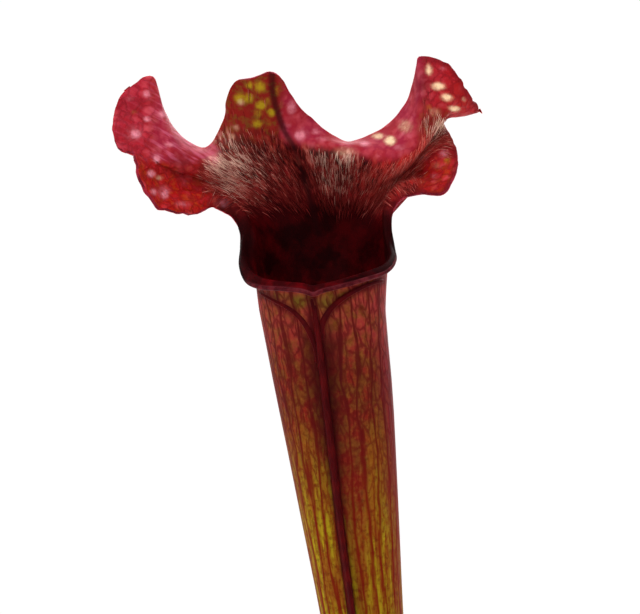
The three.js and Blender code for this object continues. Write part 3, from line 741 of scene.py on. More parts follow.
        # Painted shade beside the wing, broad near the top and narrow lower down, added to the nerves' own
        # dark.
        reach = t.scaled(t.between(along, -55.0, -14.0), 2.4, 1.3)
        painted_wing_shade = t.between(t.sum("DIVIDE", from_front, reach), 2.0, 0.3)
        painted_wing_shade = t.times(painted_wing_shade, t.between(along, -4.0, -12.0))
        shaded = t.sum("MAXIMUM", t.times(nerve, 0.75), t.times(painted_wing_shade, 0.85))
        colour = t.toward(colour, self.nerve, shaded, fading)
        colour = t.toward(colour, self.foot, t.between(along, -245.0, -275.0), 0.8)
        colour = t.toward(colour, self.hood_margin, t.between(margin, 0.8, 0.2), hood)
        relief = t.scaled(t.noise(place, 0.35 * MM), 0.3, t.times(veins, 0.7))
        return t.finish(colour, relief, 0.12, {"Roughness": 0.5, **LEAF_LIGHT, "Specular IOR Level": 0.02})


@dataclass(frozen=True)
class LidFace:
    """Inner face of the pitcher: a near-black throat of dark pigment and painted shade, a hairy crimson
    hood, and smooth translucent lobes.
    """

    # Near-black colours of the throat: dark pigment deepened with painted shade.
    throat: str = "#2b0103"
    throat_light: str = "#520206"
    throat_dark: str = "#120001"
    hood: str = "#560d0d"
    hood_light: str = "#84181a"
    rust_red: str = "#7a1510"
    rust_brown: str = "#6e3c12"
    # Crimson of the fur's flush, made bright as painted light where the crease lies in shade.
    flush: str = "#c42624"
    fur_gap: str = "#280405"
    fur_veil: str = "#c4786c"
    strand: str = "#a83c30"
    pale_strand: str = "#e2b0a4"
    lobe: str = "#8a0b16"
    lobe_light: str = "#a01a2a"
    warm_lobe: str = "#940d0a"
    warm_lobe_light: str = "#9a1814"
    lobe_fleck: str = "#b92c38"
    lobe_rust: str = "#a23a14"
    lobe_areole: str = "#cc5058"
    lobe_vein: str = "#64070e"
    # Painted shade under the lobes' folds and in creases.
    shade: str = "#54080c"
    band: str = "#8e1a32"
    band_red: str = "#921c20"
    band_mottle: str = "#bc4854"
    # Pale pink of the painted highlights along the band's folds.
    band_fold_highlight: str = "#c8607c"
    band_areole: str = "#cf6c7c"
    band_vein: str = "#80122c"
    pink: str = "#cd7c8a"
    cream: str = "#e2c29c"
    olive: str = "#9a7f12"
    # Near-black line of painted shade along the midrib's crease.
    midrib: str = "#1c0204"
    lip: str = "#4c141a"
    rim: str = "#560c14"
    # Near black up the sides of the neck: dark pigment with painted shade.
    neck: str = "#160203"
    net_cell: float = 2.6
    fold_run: tuple[float, float] = (0.87, -0.49)

    def build(self) -> Material:
        """Returns the finished material."""
        t = Tissue("lid_inner_tissue")
        across, along, margin = t.mark("wall")
        rib, band, lobe = t.mark("zones")
        _, paleness, furred = t.mark("details")
        flush, shade, _ = t.mark("flush")
        place = t.place()
        height = t.sum("SUBTRACT", t.parts(place)[2], MOUTH[2] * MM)
        blotch = t.noise(place, 4.0 * MM, 3.0)
        # How high the throat's painted shade reaches: uneven, and higher near the midrib.
        level = t.scaled(blotch, 5.0 * MM, height)
        level = t.sum("SUBTRACT", level, t.times(t.between(rib, 17.0, 5.0), 3.5 * MM))
        lit = t.between(level, 18.0 * MM, 29.0 * MM)
        bare = t.sum("MAXIMUM", band, lobe)
        hairy = t.times(lit, t.sum("SUBTRACT", 1.0, t.times(bare, 0.95)))
        hairy = t.times(t.between(height, 41.0 * MM, 32.0 * MM), furred, hairy)
        pelt = t.noise(t.point(t.times(across, 2.3), t.sum("DIVIDE", along, 4.5)), 1.0, 2.0)
        colour = self.ground(t, place, height, blotch, lit)
        # Flush: crimson, brightened as painted light where the fur lies in the shade of a crease.
        colour = t.toward(colour, self.flush, hairy, 0.9, flush)
        gaps = t.times(t.between(pelt, 0.54, 0.42), t.between(paleness, 1.9, 0.4))
        gaps = t.times(gaps, t.between(flush, 1.6, 0.1))
        colour = t.toward(colour, self.fur_gap, gaps, hairy)
        edge, areole = self.cells(t, place)
        colour = t.blend(lobe, colour, self.flesh(t, place, height, edge, areole))
        colour = t.blend(band, colour, self.smooth_band(t, place, across, edge, areole))
        uneven = t.scaled(t.noise(place, 1.8 * MM, 3.0), 1.0, 0.4)
        # Painted shade: darkens the spots under the lobes' folds and in creases.
        colour = t.toward(colour, self.shade, shade, uneven, 0.75)
        colour = t.toward(colour, self.fur_veil, hairy, 0.5, t.sum("POWER", paleness, 2.0))
        strands = t.times(t.between(pelt, 0.54, 0.64), hairy, t.scaled(paleness, 0.4, 0.6))
        colour = t.blend(strands, colour, t.blend(paleness, self.strand, self.pale_strand))
        colour = self.pale_windows(t, place, height, colour)
        # Painted shade: a dark line along the midrib's crease.
        colour = t.toward(colour, self.midrib, t.between(rib, 1.3, 0.2), 0.75)
        colour = self.dark_edges(t, place, height, margin, band, colour)
        relief = t.scaled(edge, t.times(lobe, 0.5), t.times(pelt, hairy))
        relief = t.scaled(t.noise(place, 0.4 * MM), 0.3, relief)
        shine = t.scaled(lit, 0.04, 0.02)
        light = {**LEAF_LIGHT, "Specular IOR Level": shine, "Subsurface Weight": 0.4, "Roughness": 0.55}
        return t.finish(colour, relief, 0.16, light)

    def pale_windows(self, t: Tissue, place: object, height: object, colour: object) -> NodeSocket:
        """Returns a colour with the pale windows on it, ragged at their edges and clear of the throat."""
        windows = t.mark("windows")
        ragged = t.scaled(t.noise(place, 0.9 * MM, 3.0), 1.5, 0.25)
        open_part = t.between(height, 8.0 * MM, 12.0 * MM)
        for tone, pale in ((Tone.OLIVE, self.olive), (Tone.PINK, self.pink), (Tone.CREAM, self.cream)):
            share = t.between(t.times(windows[tone.value], ragged), 0.05, 0.95)
            colour = t.toward(colour, pale, share, open_part)
        return colour

    def dark_edges(
        self, t: Tissue, place: object, height: object, margin: object, band: object, colour: object
    ) -> NodeSocket:
        """Returns a colour with its dark edges: the rolled lip, the lobes' rim and the sides of the neck,
        near black with painted shade.

        Args:
            t: The material in the making.
            place: The place on the object.
            height: Height above the mouth, in metres.
            margin: Distance from the margin, in mm.
            band: How far a point is in the smooth band.
            colour: The colour without its edges.
        """
        rolled = t.times(t.between(margin, 0.9, 0.4), t.between(height, 3.0 * MM, 1.0 * MM))
        colour = t.blend(rolled, colour, self.lip)
        rim = t.times(t.between(margin, 1.8, 0.2), t.scaled(band, -0.7, 1.0))
        rim = t.times(rim, t.between(t.parts(place)[0], -30.0 * MM, -22.0 * MM))
        above_neck = t.between(height, 15.0 * MM, 20.0 * MM)
        colour = t.toward(colour, self.rim, rim, above_neck, 0.6)
        # Painted shade with dark pigment: near black up the sides of the neck.
        neck = t.times(t.between(margin, 7.0, 3.0), t.between(height, 3.0 * MM, 6.0 * MM))
        neck = t.times(neck, t.between(height, 20.0 * MM, 14.0 * MM))
        return t.toward(colour, self.neck, neck, 0.8)

    def ground(self, t: Tissue, place: object, height: object, blotch: object, lit: object) -> NodeSocket:
        """Returns the colour under the hairs: near black in the throat, dark pigment with painted shade,
        crimson above it, rusty at the top.

        Args:
            t: The material in the making.
            place: The place on the object.
            height: Height above the mouth, in metres.
            blotch: A coarse noise.
            lit: How far a point is above the dark throat.
        """
        # The throat is near black: dark pigment deepened with painted shade.
        glow = t.scaled(t.between(height, 8.0 * MM, 0.0), 0.7, 0.3)
        dark = t.toward(self.throat, self.throat_light, glow, t.between(blotch, 0.4, 0.65))
        deep = t.between(t.noise(place, 7.0 * MM, 3.0), 0.56, 0.36)
        dark = t.toward(dark, self.throat_dark, deep, 0.85)
        crimson = t.blend(t.between(blotch, 0.35, 0.65), self.hood, self.hood_light)
        fine = t.noise(place, 1.5 * MM, 3.0)
        rusty = t.blend(t.between(fine, 0.46, 0.68), self.rust_red, self.rust_brown)
        crimson = t.toward(crimson, rusty, t.between(height, 31.0 * MM, 38.0 * MM), 0.85)
        return t.blend(lit, dark, crimson)

    def cells(self, t: Tissue, place: object) -> tuple[Node, Node]:
        """Returns the net of veins in the lobes, and the paler middles of its cells, from 0 to 1."""
        bend = t.add("TexNoise", None, {"Vector": place, "Scale": 480.0, "Detail": 2.0}).outputs["Color"]
        shift = t.add("VectorMath", {"operation": "SCALE"}, {0: bend, "Scale": 2.6 * MM})
        warped = t.add("VectorMath", {"operation": "ADD"}, {0: place, 1: shift})
        scale = {"Vector": warped, "Scale": 1 / (self.net_cell * MM), "Randomness": 0.95}
        edge = t.add("TexVoronoi", {"feature": "DISTANCE_TO_EDGE"}, scale)
        cell = t.add("TexVoronoi", None, scale)
        chance = t.between(t.parts(cell.outputs["Color"])[0], 0.3, 1.0)
        areole = t.times(t.between(cell.outputs["Distance"], 0.55, 0.05), chance)
        return t.between(edge.outputs["Distance"], 0.16, 0.02), areole

    def flesh(self, t: Tissue, place: object, height: object, edge: object, areole: object) -> NodeSocket:
        """Returns the lobes' colour: saturated red with pink areoles, and rusty low down."""
        broad = t.noise(place, 5.5 * MM, 2.0)
        fine = t.noise(place, 1.6 * MM, 3.0)
        lower = t.between(height, 34.0 * MM, 28.0 * MM)
        warm = t.sum("MAXIMUM", t.between(t.parts(place)[0], 0.0, 18.0 * MM), lower)
        deep = t.blend(warm, self.lobe, self.warm_lobe)
        light = t.blend(warm, self.lobe_light, self.warm_lobe_light)
        colour = t.blend(t.between(broad, 0.38, 0.62), deep, light)
        colour = t.toward(colour, self.lobe_fleck, t.between(fine, 0.5, 0.7), 0.35)
        rusty = t.times(t.between(fine, 0.52, 0.38), lower)
        colour = t.toward(colour, self.lobe_rust, rusty, 0.5)
        colour = t.toward(colour, self.lobe_areole, areole, 0.5)
        return t.toward(colour, self.lobe_vein, edge, 0.42)

    def smooth_band(
        self, t: Tissue, place: object, across: object, edge: object, areole: object
    ) -> NodeSocket:
        """Returns the colour of the bare band that is bent back: rose, with painted highlights of folds
        along its left part.
        """
        x, _, z = t.parts(place)
        run_x, run_z = self.fold_run
        down = t.scaled(x, run_x, t.times(z, run_z))
        aside = t.scaled(x, -run_z, t.times(z, run_x))
        folds = t.point(t.sum("DIVIDE", down, 6.0 * MM), t.sum("DIVIDE", aside, 1.0 * MM))
        fold = t.between(t.noise(folds, 1.0), 0.44, 0.66)
        left = t.between(across, 46.0, 44.0)
        broad = t.between(t.noise(place, 6.0 * MM, 2.0), 0.38, 0.62)
        mottle = t.between(t.noise(place, 2.4 * MM, 2.0), 0.42, 0.7)
        colour = t.toward(self.band, self.band_red, broad, 0.7)
        colour = t.toward(colour, self.band_mottle, mottle, 0.42)
        # Painted highlights: pale streaks along the folds of the band's left part.
        colour = t.toward(colour, self.band_fold_highlight, fold, left, 0.6)
        colour = t.toward(colour, self.band_areole, areole, 0.3)
        return t.toward(colour, self.band_vein, edge, 0.22)


@dataclass(frozen=True)
class DarkNerve:
    """Thick-walled nerve tissue of the wing, the nerves under the lip and the margin: dark and dull."""

    name: str = "dark_nerve_tissue"
    deep: str = "#360609"
    light: str = "#4a090b"

    def build(self) -> Material:
        """Returns the finished material."""
        t = Tissue(self.name)
        place = t.place()
        colour = t.blend(t.between(t.noise(place, 4.0 * MM, 2.0), 0.35, 0.7), self.deep, self.light)
        values = {"Roughness": 0.5, **LEAF_LIGHT, "Specular IOR Level": 0.02}
        return t.finish(colour, t.noise(place, 0.4 * MM), 0.05, values)


@dataclass(frozen=True)
class LipRoll:
    """Rolled edge of the mouth: dusky rose in front, plum-dark up the sides of the neck."""

    rose: str = "#581a20"
    dark_rose: str = "#3a0a10"
    plum: str = "#160406"

    def build(self) -> Material:
        """Returns the finished material."""
        t = Tissue("dusky_lip_tissue")
        place = t.place()
        height = t.sum("SUBTRACT", t.parts(place)[2], MOUTH[2] * MM)
        mottle = t.blend(t.between(t.noise(place, 2.0 * MM, 2.0), 0.35, 0.65), self.dark_rose, self.rose)
        to_right = t.between(t.parts(place)[0], MOUTH[0] * MM, (MOUTH[0] + 12.0) * MM)
        level = t.scaled(to_right, -6.0 * MM, height)
        colour = t.blend(t.between(level, 0.5 * MM, 3.0 * MM), mottle, self.plum)
        values = {"Roughness": 0.5, **LEAF_LIGHT, "Specular IOR Level": 0.03}
        return t.finish(colour, t.noise(place, 0.4 * MM), 0.05, values)


@dataclass(frozen=True)
class GuardHair:
    """Stiff glassy hairs of the lid: some pale, some reddened, each of one colour; flushed ones are a
    bright crimson, partly painted light against the crease's shade.
    """

    pale: str = "#ecc6b2"
    rosy: str = "#b0403a"
    red: str = "#5a0c0c"
    # Bright crimson of flushed hairs, partly painted light against the shade of the crease.
    crimson: str = "#e6544c"

    def build(self) -> Material:
        """Returns the finished material."""
        t = Tissue("glassy_guard_hair")
        paleness, flush, _ = t.mark("tint")
        colour = t.blend(t.between(paleness, 0.0, 0.6), self.red, self.rosy)
        colour = t.blend(t.between(paleness, 0.6, 1.0), colour, self.pale)
        colour = t.blend(flush, colour, self.crimson)
        return t.finish(colour, None, 0.0, {"Roughness": 0.55, "IOR": 1.5, "Specular IOR Level": 0.04})


@dataclass(frozen=True)
class GreenBlade:
    """Leathery green blade with fine lengthwise veins and a slightly reddened edge."""

    light: str = "#7d9c3f"
    dark: str = "#4f7429"
    blotch: str = "#94a04a"
    flush: str = "#8c4a2e"
    foot: str = "#7a4a3c"

    def build(self) -> Material:
        """Returns the finished material."""
        t = Tissue("leathery_sword_leaf")
        across, along, edge = t.mark("wall")
        line = t.noise(t.point(t.times(across, 1.6), t.sum("DIVIDE", along, 60.0)), 1.0)
        blotch = t.noise(t.place(), 9.0 * MM, 3.0)
        colour = t.blend(t.between(line, 0.4, 0.62), self.light, self.dark)
        colour = t.toward(colour, self.blotch, t.between(blotch, 0.45, 0.75), 0.45)
        colour = t.toward(colour, self.flush, t.between(edge, 0.9, 0.1), 0.7)
        colour = t.toward(colour, self.foot, t.between(along, 20.0, 0.0), 0.8)
        return t.finish(colour, line, 0.1, {"Roughness": 0.4, **LEAF_LIGHT})


@dataclass(frozen=True)
class Rootstock:
    """Corky brown rootstock, dull and fibrous, with darker scars."""

    name: str = "corky_rootstock"
    dark: str = "#3b2719"
    light: str = "#7a5a3a"
    grain: str = "#8f7352"

    def build(self) -> Material:
        """Returns the finished material."""
        t = Tissue(self.name)
        place = t.place()
        rings = t.noise(t.add("Mapping", None, {"Vector": place, "Scale": (4.0, 0.7, 0.7)}), 2.4 * MM, 4.0)
        grain = t.noise(place, 0.6 * MM, 3.0)
        colour = t.blend(t.between(rings, 0.35, 0.65), self.dark, self.light)
        colour = t.toward(colour, self.grain, t.between(grain, 0.5, 0.75), 0.4)
        return t.finish(colour, t.sum("ADD", rings, grain), 0.35, {"Roughness": 0.85})


@dataclass(frozen=True)
class PottingPeat:
    """Milled peat: dark, damp and dull, with fibres."""

    dark: str = "#1e130c"
    light: str = "#4b3421"
    fibre: str = "#6b5138"

    def build(self) -> Material:
        """Returns the finished material."""
        t = Tissue("damp_milled_peat")
        place = t.place()
        coarse = t.noise(place, 2.2 * MM, 5.0)
        fine = t.noise(place, 0.5 * MM, 3.0)
        colour = t.blend(t.between(coarse, 0.35, 0.68), self.dark, self.light)
        colour = t.toward(colour, self.fibre, t.between(fine, 0.55, 0.75), 0.4)
        return t.finish(colour, t.sum("ADD", coarse, fine), 0.6, {"Roughness": 0.92})


@dataclass(frozen=True)
class Perlite:
    """Expanded perlite: chalky white, porous grains."""

    pore: str = "#a89c88"
    chalk: str = "#e6e0d2"

    def build(self) -> Material:
        """Returns the finished material."""
        t = Tissue("expanded_perlite")
        place = t.place()
        pores = t.noise(place, 0.5 * MM, 3.0)
        colour = t.blend(t.between(pores, 0.3, 0.6), self.pore, self.chalk)
        return t.finish(colour, pores, 0.25, {"Roughness": 0.9})


@dataclass(frozen=True)
class BogMoss:
    """Living bog moss: soft yellow-green strands."""

    dark: str = "#4f6a22"
    light: str = "#93a048"

    def build(self) -> Material:
        """Returns the finished material."""
        t = Tissue("bog_moss")
        place = t.place()
        colour = t.blend(t.between(t.noise(place, 2.0 * MM), 0.35, 0.65), self.dark, self.light)
        return t.finish(colour, t.noise(place, 0.4 * MM), 0.1, {"Roughness": 0.75, **LEAF_LIGHT})


@dataclass(frozen=True)
class MouldedPolypropylene:
    """Injection-moulded polypropylene of a nursery pot: satin, with a faint mould grain and dust."""

    colour: str = "#2a2c2f"
    dust: str = "#5a5348"

    def build(self) -> Material:
        """Returns the finished material."""
        t = Tissue("moulded_polypropylene")
        place = t.place()
        grain = t.noise(place, 0.45 * MM, 2.0)
        cloud = t.noise(place, 22.0 * MM, 4.0)
        foot = t.between(t.parts(place)[2], 22.0 * MM, 0.0)
        dusty = t.times(t.between(cloud, 0.5, 0.75), 0.25)
        dusty = t.sum("ADD", dusty, t.times(foot, t.times(cloud, 0.35)))
        colour = t.blend(dusty, self.colour, self.dust)
        rough = t.add("MapRange", None, {"Value": cloud, "To Min": 0.36, "To Max": 0.58})
        return t.finish(colour, grain, 0.05, {"Roughness": rough, "IOR": 1.49})


@dataclass(frozen=True)
class PaperSweep:
    """Matt white studio paper under the pot."""

    white: str = "#f4f4f2"
    shade: str = "#efefed"

    def build(self) -> Material:
        """Returns the finished material."""
        t = Tissue("matt_studio_paper")
        place = t.place()
        colour = t.blend(t.noise(place, 60.0 * MM), self.white, self.shade)
        return t.finish(colour, None, 0.0, {"Roughness": 0.9})


@dataclass
class PitcherWall:
    """The open pitcher's wall as one sheet, from its foot over the throat and shoulder to the margin."""

    column_step: float = 0.8
    tube_step: float = 8.0
    hood_rows: tuple[int, ...] = (9, 12, 16, 40)
    throat_height: float = 13.0
    throat_radius: float = 16.0
    below_crest: float = 2.6
    flare_from: float = -2.0
    back_bulge: float = 2.0
    rise_first: float = 0.12
    ruffle: float = 0.24
    scallop: float = 0.16
    lip_end: float = 104.0
    lip_start: float = 249.5
    fur_starts: tuple[float, float] = (-31.5, -26.0)
    # Each lobe's angles on the tube: where its own tissue starts, is full, fades and ends.
    lower_left: tuple[float, ...] = (112, 121, 138, 142)
    upper_left: tuple[float, ...] = (139, 143, 163, 166)
    upper_right: tuple[float, ...] = (184, 188, 228, 231)
    lower_right: tuple[float, ...] = (231, 235, 241, 246)

    def columns(self) -> np.ndarray:
        """Returns angle, crest and margin of every column, the first again as the last."""
        rows = np.array([(angle, *crest, *margin) for angle, crest, margin in EDGE], float)
        turn = np.array([360.0, 0, 0, 0, 0, 0, 0])
        padded = np.vstack([rows[-3:] - turn, rows, rows[:3] + turn])
        chords = np.linalg.norm(np.diff(padded[:, 1:], axis=0), axis=1)
        knots = np.concatenate([[0.0], np.cumsum(np.sqrt(chords + 0.2))])
        at = []
        for i in range(3, len(rows) + 3):
            reach = max(
                np.linalg.norm(padded[i + 1, 4:] - padded[i, 4:]),
                math.radians(padded[i + 1, 0] - padded[i, 0]) * MOUTH_RADIUS,
            )
            steps = max(3, round(reach / self.column_step))
            at.extend(knots[i] + (knots[i + 1] - knots[i]) * np.arange(steps) / steps)
        at.append(knots[len(rows) + 3])
        return smooth_rows(knots, padded, np.array(at))

    def tube_rows(self) -> np.ndarray:
        """Returns height, x, y, outer radius and twist of every ring of the tube."""
        table = np.array(TUBE, float)
        steps = round((table[-1, 0] - table[0, 0]) / self.tube_step)
        heights = np.linspace(table[0, 0], table[-1, 0], steps + 1)
        return smooth_rows(table[:, 0], table, heights)

    def tube_ring(self, row: np.ndarray, angles: np.ndarray) -> np.ndarray:
        """Returns one ring of the tube's middle surface, from the mouth's centre."""
        height, x, y, radius, twist = row
        return around(angles + twist, radius - LEAF_THICKNESS / 2) + [x, y, height]

    def hood_line(self, columns: np.ndarray, places: np.ndarray) -> np.ndarray:
        """Returns the wall above the tube.

        Args:
            columns: Angle, crest and margin of each column.
            places: Where the rows lie: 1 is the tube's last ring, 2 the throat, 3 half way up, 4 the crest
                and 5 the margin.

        Returns:
            Points by row and column, from the mouth's centre.
        """
        table = np.array(TUBE, float)
        angles, crest, margin = columns[:, 0], columns[:, 1:4], columns[:, 4:7]
        level = np.minimum(self.throat_height, crest[:, 2] - self.below_crest)
        flare = smooth_step(level, self.flare_from, self.throat_height)
        throat = around(angles, MOUTH_RADIUS + (self.throat_radius - MOUTH_RADIUS) * flare)
        throat[:, 2] = level
        half = (throat + crest) / 2
        half[:, 1] += self.back_bulge * smooth_step(crest[:, 2], self.throat_height, 2 * self.throat_height)
        half[:, 2] += self.rise_first * np.abs(crest[:, 0] - throat[:, 0])
        below, last = (self.tube_ring(row, angles) for row in table[-2:])
        line = np.array([below, last, throat, half, crest, margin])
        line = np.concatenate([line, 2 * line[-1:] - line[-2:-1]])
        rows = []
        for place in places:
            part = min(int(place), 4)
            rows.append(curve_point(line[part - 1 : part + 3], place - part))
        return np.array(rows)

    def sheet(self) -> Sheet:
        """Returns the wall's middle surface with the marks that its finishes read."""
        columns = self.columns()
        places = np.concatenate([i + np.arange(1, n + 1) / n for i, n in enumerate(self.hood_rows, 1)])
        tube = np.array([self.tube_ring(row, columns[:, 0]) for row in self.tube_rows()])
        hood = self.hood_line(columns, places)
        sheet = Sheet(np.concatenate([tube, hood]) + MOUTH)
        steps = np.linalg.norm(np.diff(sheet.points, axis=0), axis=-1)
        path = np.concatenate([np.zeros((1, len(columns))), np.cumsum(steps, axis=0)])
        margin = path[-1] - path
        place = np.concatenate([np.full(len(tube), 1.0), places])[:, None] + 0 * margin
        angle = columns[:, 0][None, :] + 0 * margin
        self.ruffle_margin(sheet, margin, angle)
        rise = path - path[len(tube) - 1] + TUBE[-1][0]
        sheet.marks["wall"] = np.stack([np.radians(angle) * MOUTH_RADIUS, rise, margin], axis=-1)
        sheet.marks["zones"] = self.zones(sheet, angle, place)
        sheet.marks["windows"] = self.windows(sheet)
        nearest = self.nerve_distance(sheet)
        furred = smooth_step(sheet.points[..., 0] - MOUTH[0], *self.fur_starts)
        # The flush spots are crimson, brightened as painted light where the fur's crease lies in shade.
        paleness, flush, shade = (spot_share(sheet.points, spots) for spots in (TUFTS, CRIMSON_AND_PAINTED_LIGHT_SPOTS, PAINTED_SHADE_SPOTS))
        sheet.marks["details"] = np.stack([nearest, paleness, furred], axis=-1)
        # The flush mark's second channel is the painted shade under the lobes' folds and in creases.
        sheet.marks["flush"] = np.stack([flush, shade, 0 * shade], axis=-1)
        return sheet

    def ruffle_margin(self, sheet: Sheet, margin: np.ndarray, angle: np.ndarray) -> None:
        """Gives the lobes' edges their small waves and notches, which fade out away from the margin.

        They are weakest from the upper left lobe to the upper right one, and weak on the lower right one.

        Args:
            sheet: The wall's middle surface, which is changed.
            margin: Each point's distance from the margin.
            angle: Each point's angle on the tube.
        """
        edge = sheet.points[-1]
        length = distance_along(edge)
        wave = np.sin(length / 1.37) + 0.6 * np.sin(length / 0.83 + 1.0)
        free = soft_range(angle, self.lip_end, self.lip_end + 14, self.lip_start - 12, self.lip_start)
        even = soft_range(angle, 142, 148, 216, 222)
        calm = smooth_step(angle, 229, 233)
        outer = free * (1 - 0.8 * even) * (1 - 0.7 * calm)
        share = (1 - smooth_step(margin, 0.0, 7.0)) * outer * self.ruffle
        sheet.points += sheet.normals() * (wave[None, :] * share)[..., None]
        notch = np.sin(length / 0.71 + 0.8) + 0.8 * np.sin(length / 0.43)
        share = (1 - smooth_step(margin, 0.0, 3.5)) * outer * self.scallop
        sheet.points += unit(edge - sheet.points[-2]) * (notch[None, :] * share)[..., None]

    def zones(self, sheet: Sheet, angle: np.ndarray, place: np.ndarray) -> np.ndarray:
        """Returns the distance from the lid's midrib, and how far a point is smooth band or lobe.

        Args:
            sheet: The wall's middle surface.
            angle: Each point's angle on the tube.
            place: Each point's place up the wall, as in hood_line.
        """
        rib = PHOTO.line(MIDRIB_PIXELS)
        x, z = front_view(sheet.points)
        off = np.abs(x - np.interp(z, rib[:, 1], rib[:, 0]))
        # Down in the throat the midrib is lost, and one distance stands for all.
        off = np.where(z < 12, 9.0, off)
        left, right = soft_range(angle, *self.upper_left), soft_range(angle, *self.upper_right)
        outer = left * (1 - smooth_step(x, -41.5, -36.5)) + right * smooth_step(x, 23.2, 26.0)
        beyond = smooth_step(place, np.where(angle < 175, 3.95, 3.8), 4.12)
        # The fur fans out over the crest at the upper right lobe's foot, so the band and lobe stay off it.
        fan = soft_range(x, 22.0, 25.0, 28.5, 31.5) * (1 - smooth_step(z, 40.0, 44.0))
        beyond = beyond * (1 - 0.9 * fan)
        band = beyond * (left + right) * (1 - 0.85 * outer)
        left, right = soft_range(angle, *self.lower_left), soft_range(angle, *self.lower_right)
        lower = left * (1 - smooth_step(x, -30.0, -21.5)) + right * smooth_step(x, 21.5, 26.0)
        flesh = lower * smooth_step(place, 2.6, 3.2) + beyond * outer
        furless = (1 - smooth_step(x, *self.fur_starts)) * (1 - band)
        return np.stack([off, band, np.clip(np.maximum(flesh, furless), 0, 1)], axis=-1)

    def nerve_distance(self, sheet: Sheet) -> np.ndarray:
        """Returns the distance in mm from each point, seen from the front, to the nerves under the lip."""
        flat = np.stack(front_view(sheet.points), axis=-1)
        nearest = np.full(flat.shape[:2], FAR)
        for pixels in NERVE_PIXELS.values():
            line = PHOTO.line(pixels)
            for start, end in zip(line, line[1:]):
                run = end - start
                share = np.clip(((flat - start) @ run) / (run @ run), 0, 1)
                off = np.linalg.norm(flat - start - share[..., None] * run, axis=-1)
                nearest = np.minimum(nearest, off)
        return np.where(sheet.points[..., 1] > MOUTH[1], FAR, nearest)

    def windows(self, sheet: Sheet) -> np.ndarray:
        """Returns how pale each point is in each tone, from the table of windows."""
        x, z = front_view(sheet.points)
        shares = np.zeros((*x.shape, len(Tone)))
        for tone, windows in WINDOWS.items():
            for pixel_x, pixel_y, half_width, half_height, strength in windows:
                centre = PHOTO.place(pixel_x, pixel_y)
                far = ((x - centre[0]) / half_width) ** 2 + ((z - centre[1]) / half_height) ** 2
                blob = strength * np.exp(-(far**1.2))
                shares[..., tone.value] = np.maximum(shares[..., tone.value], blob)
        return shares


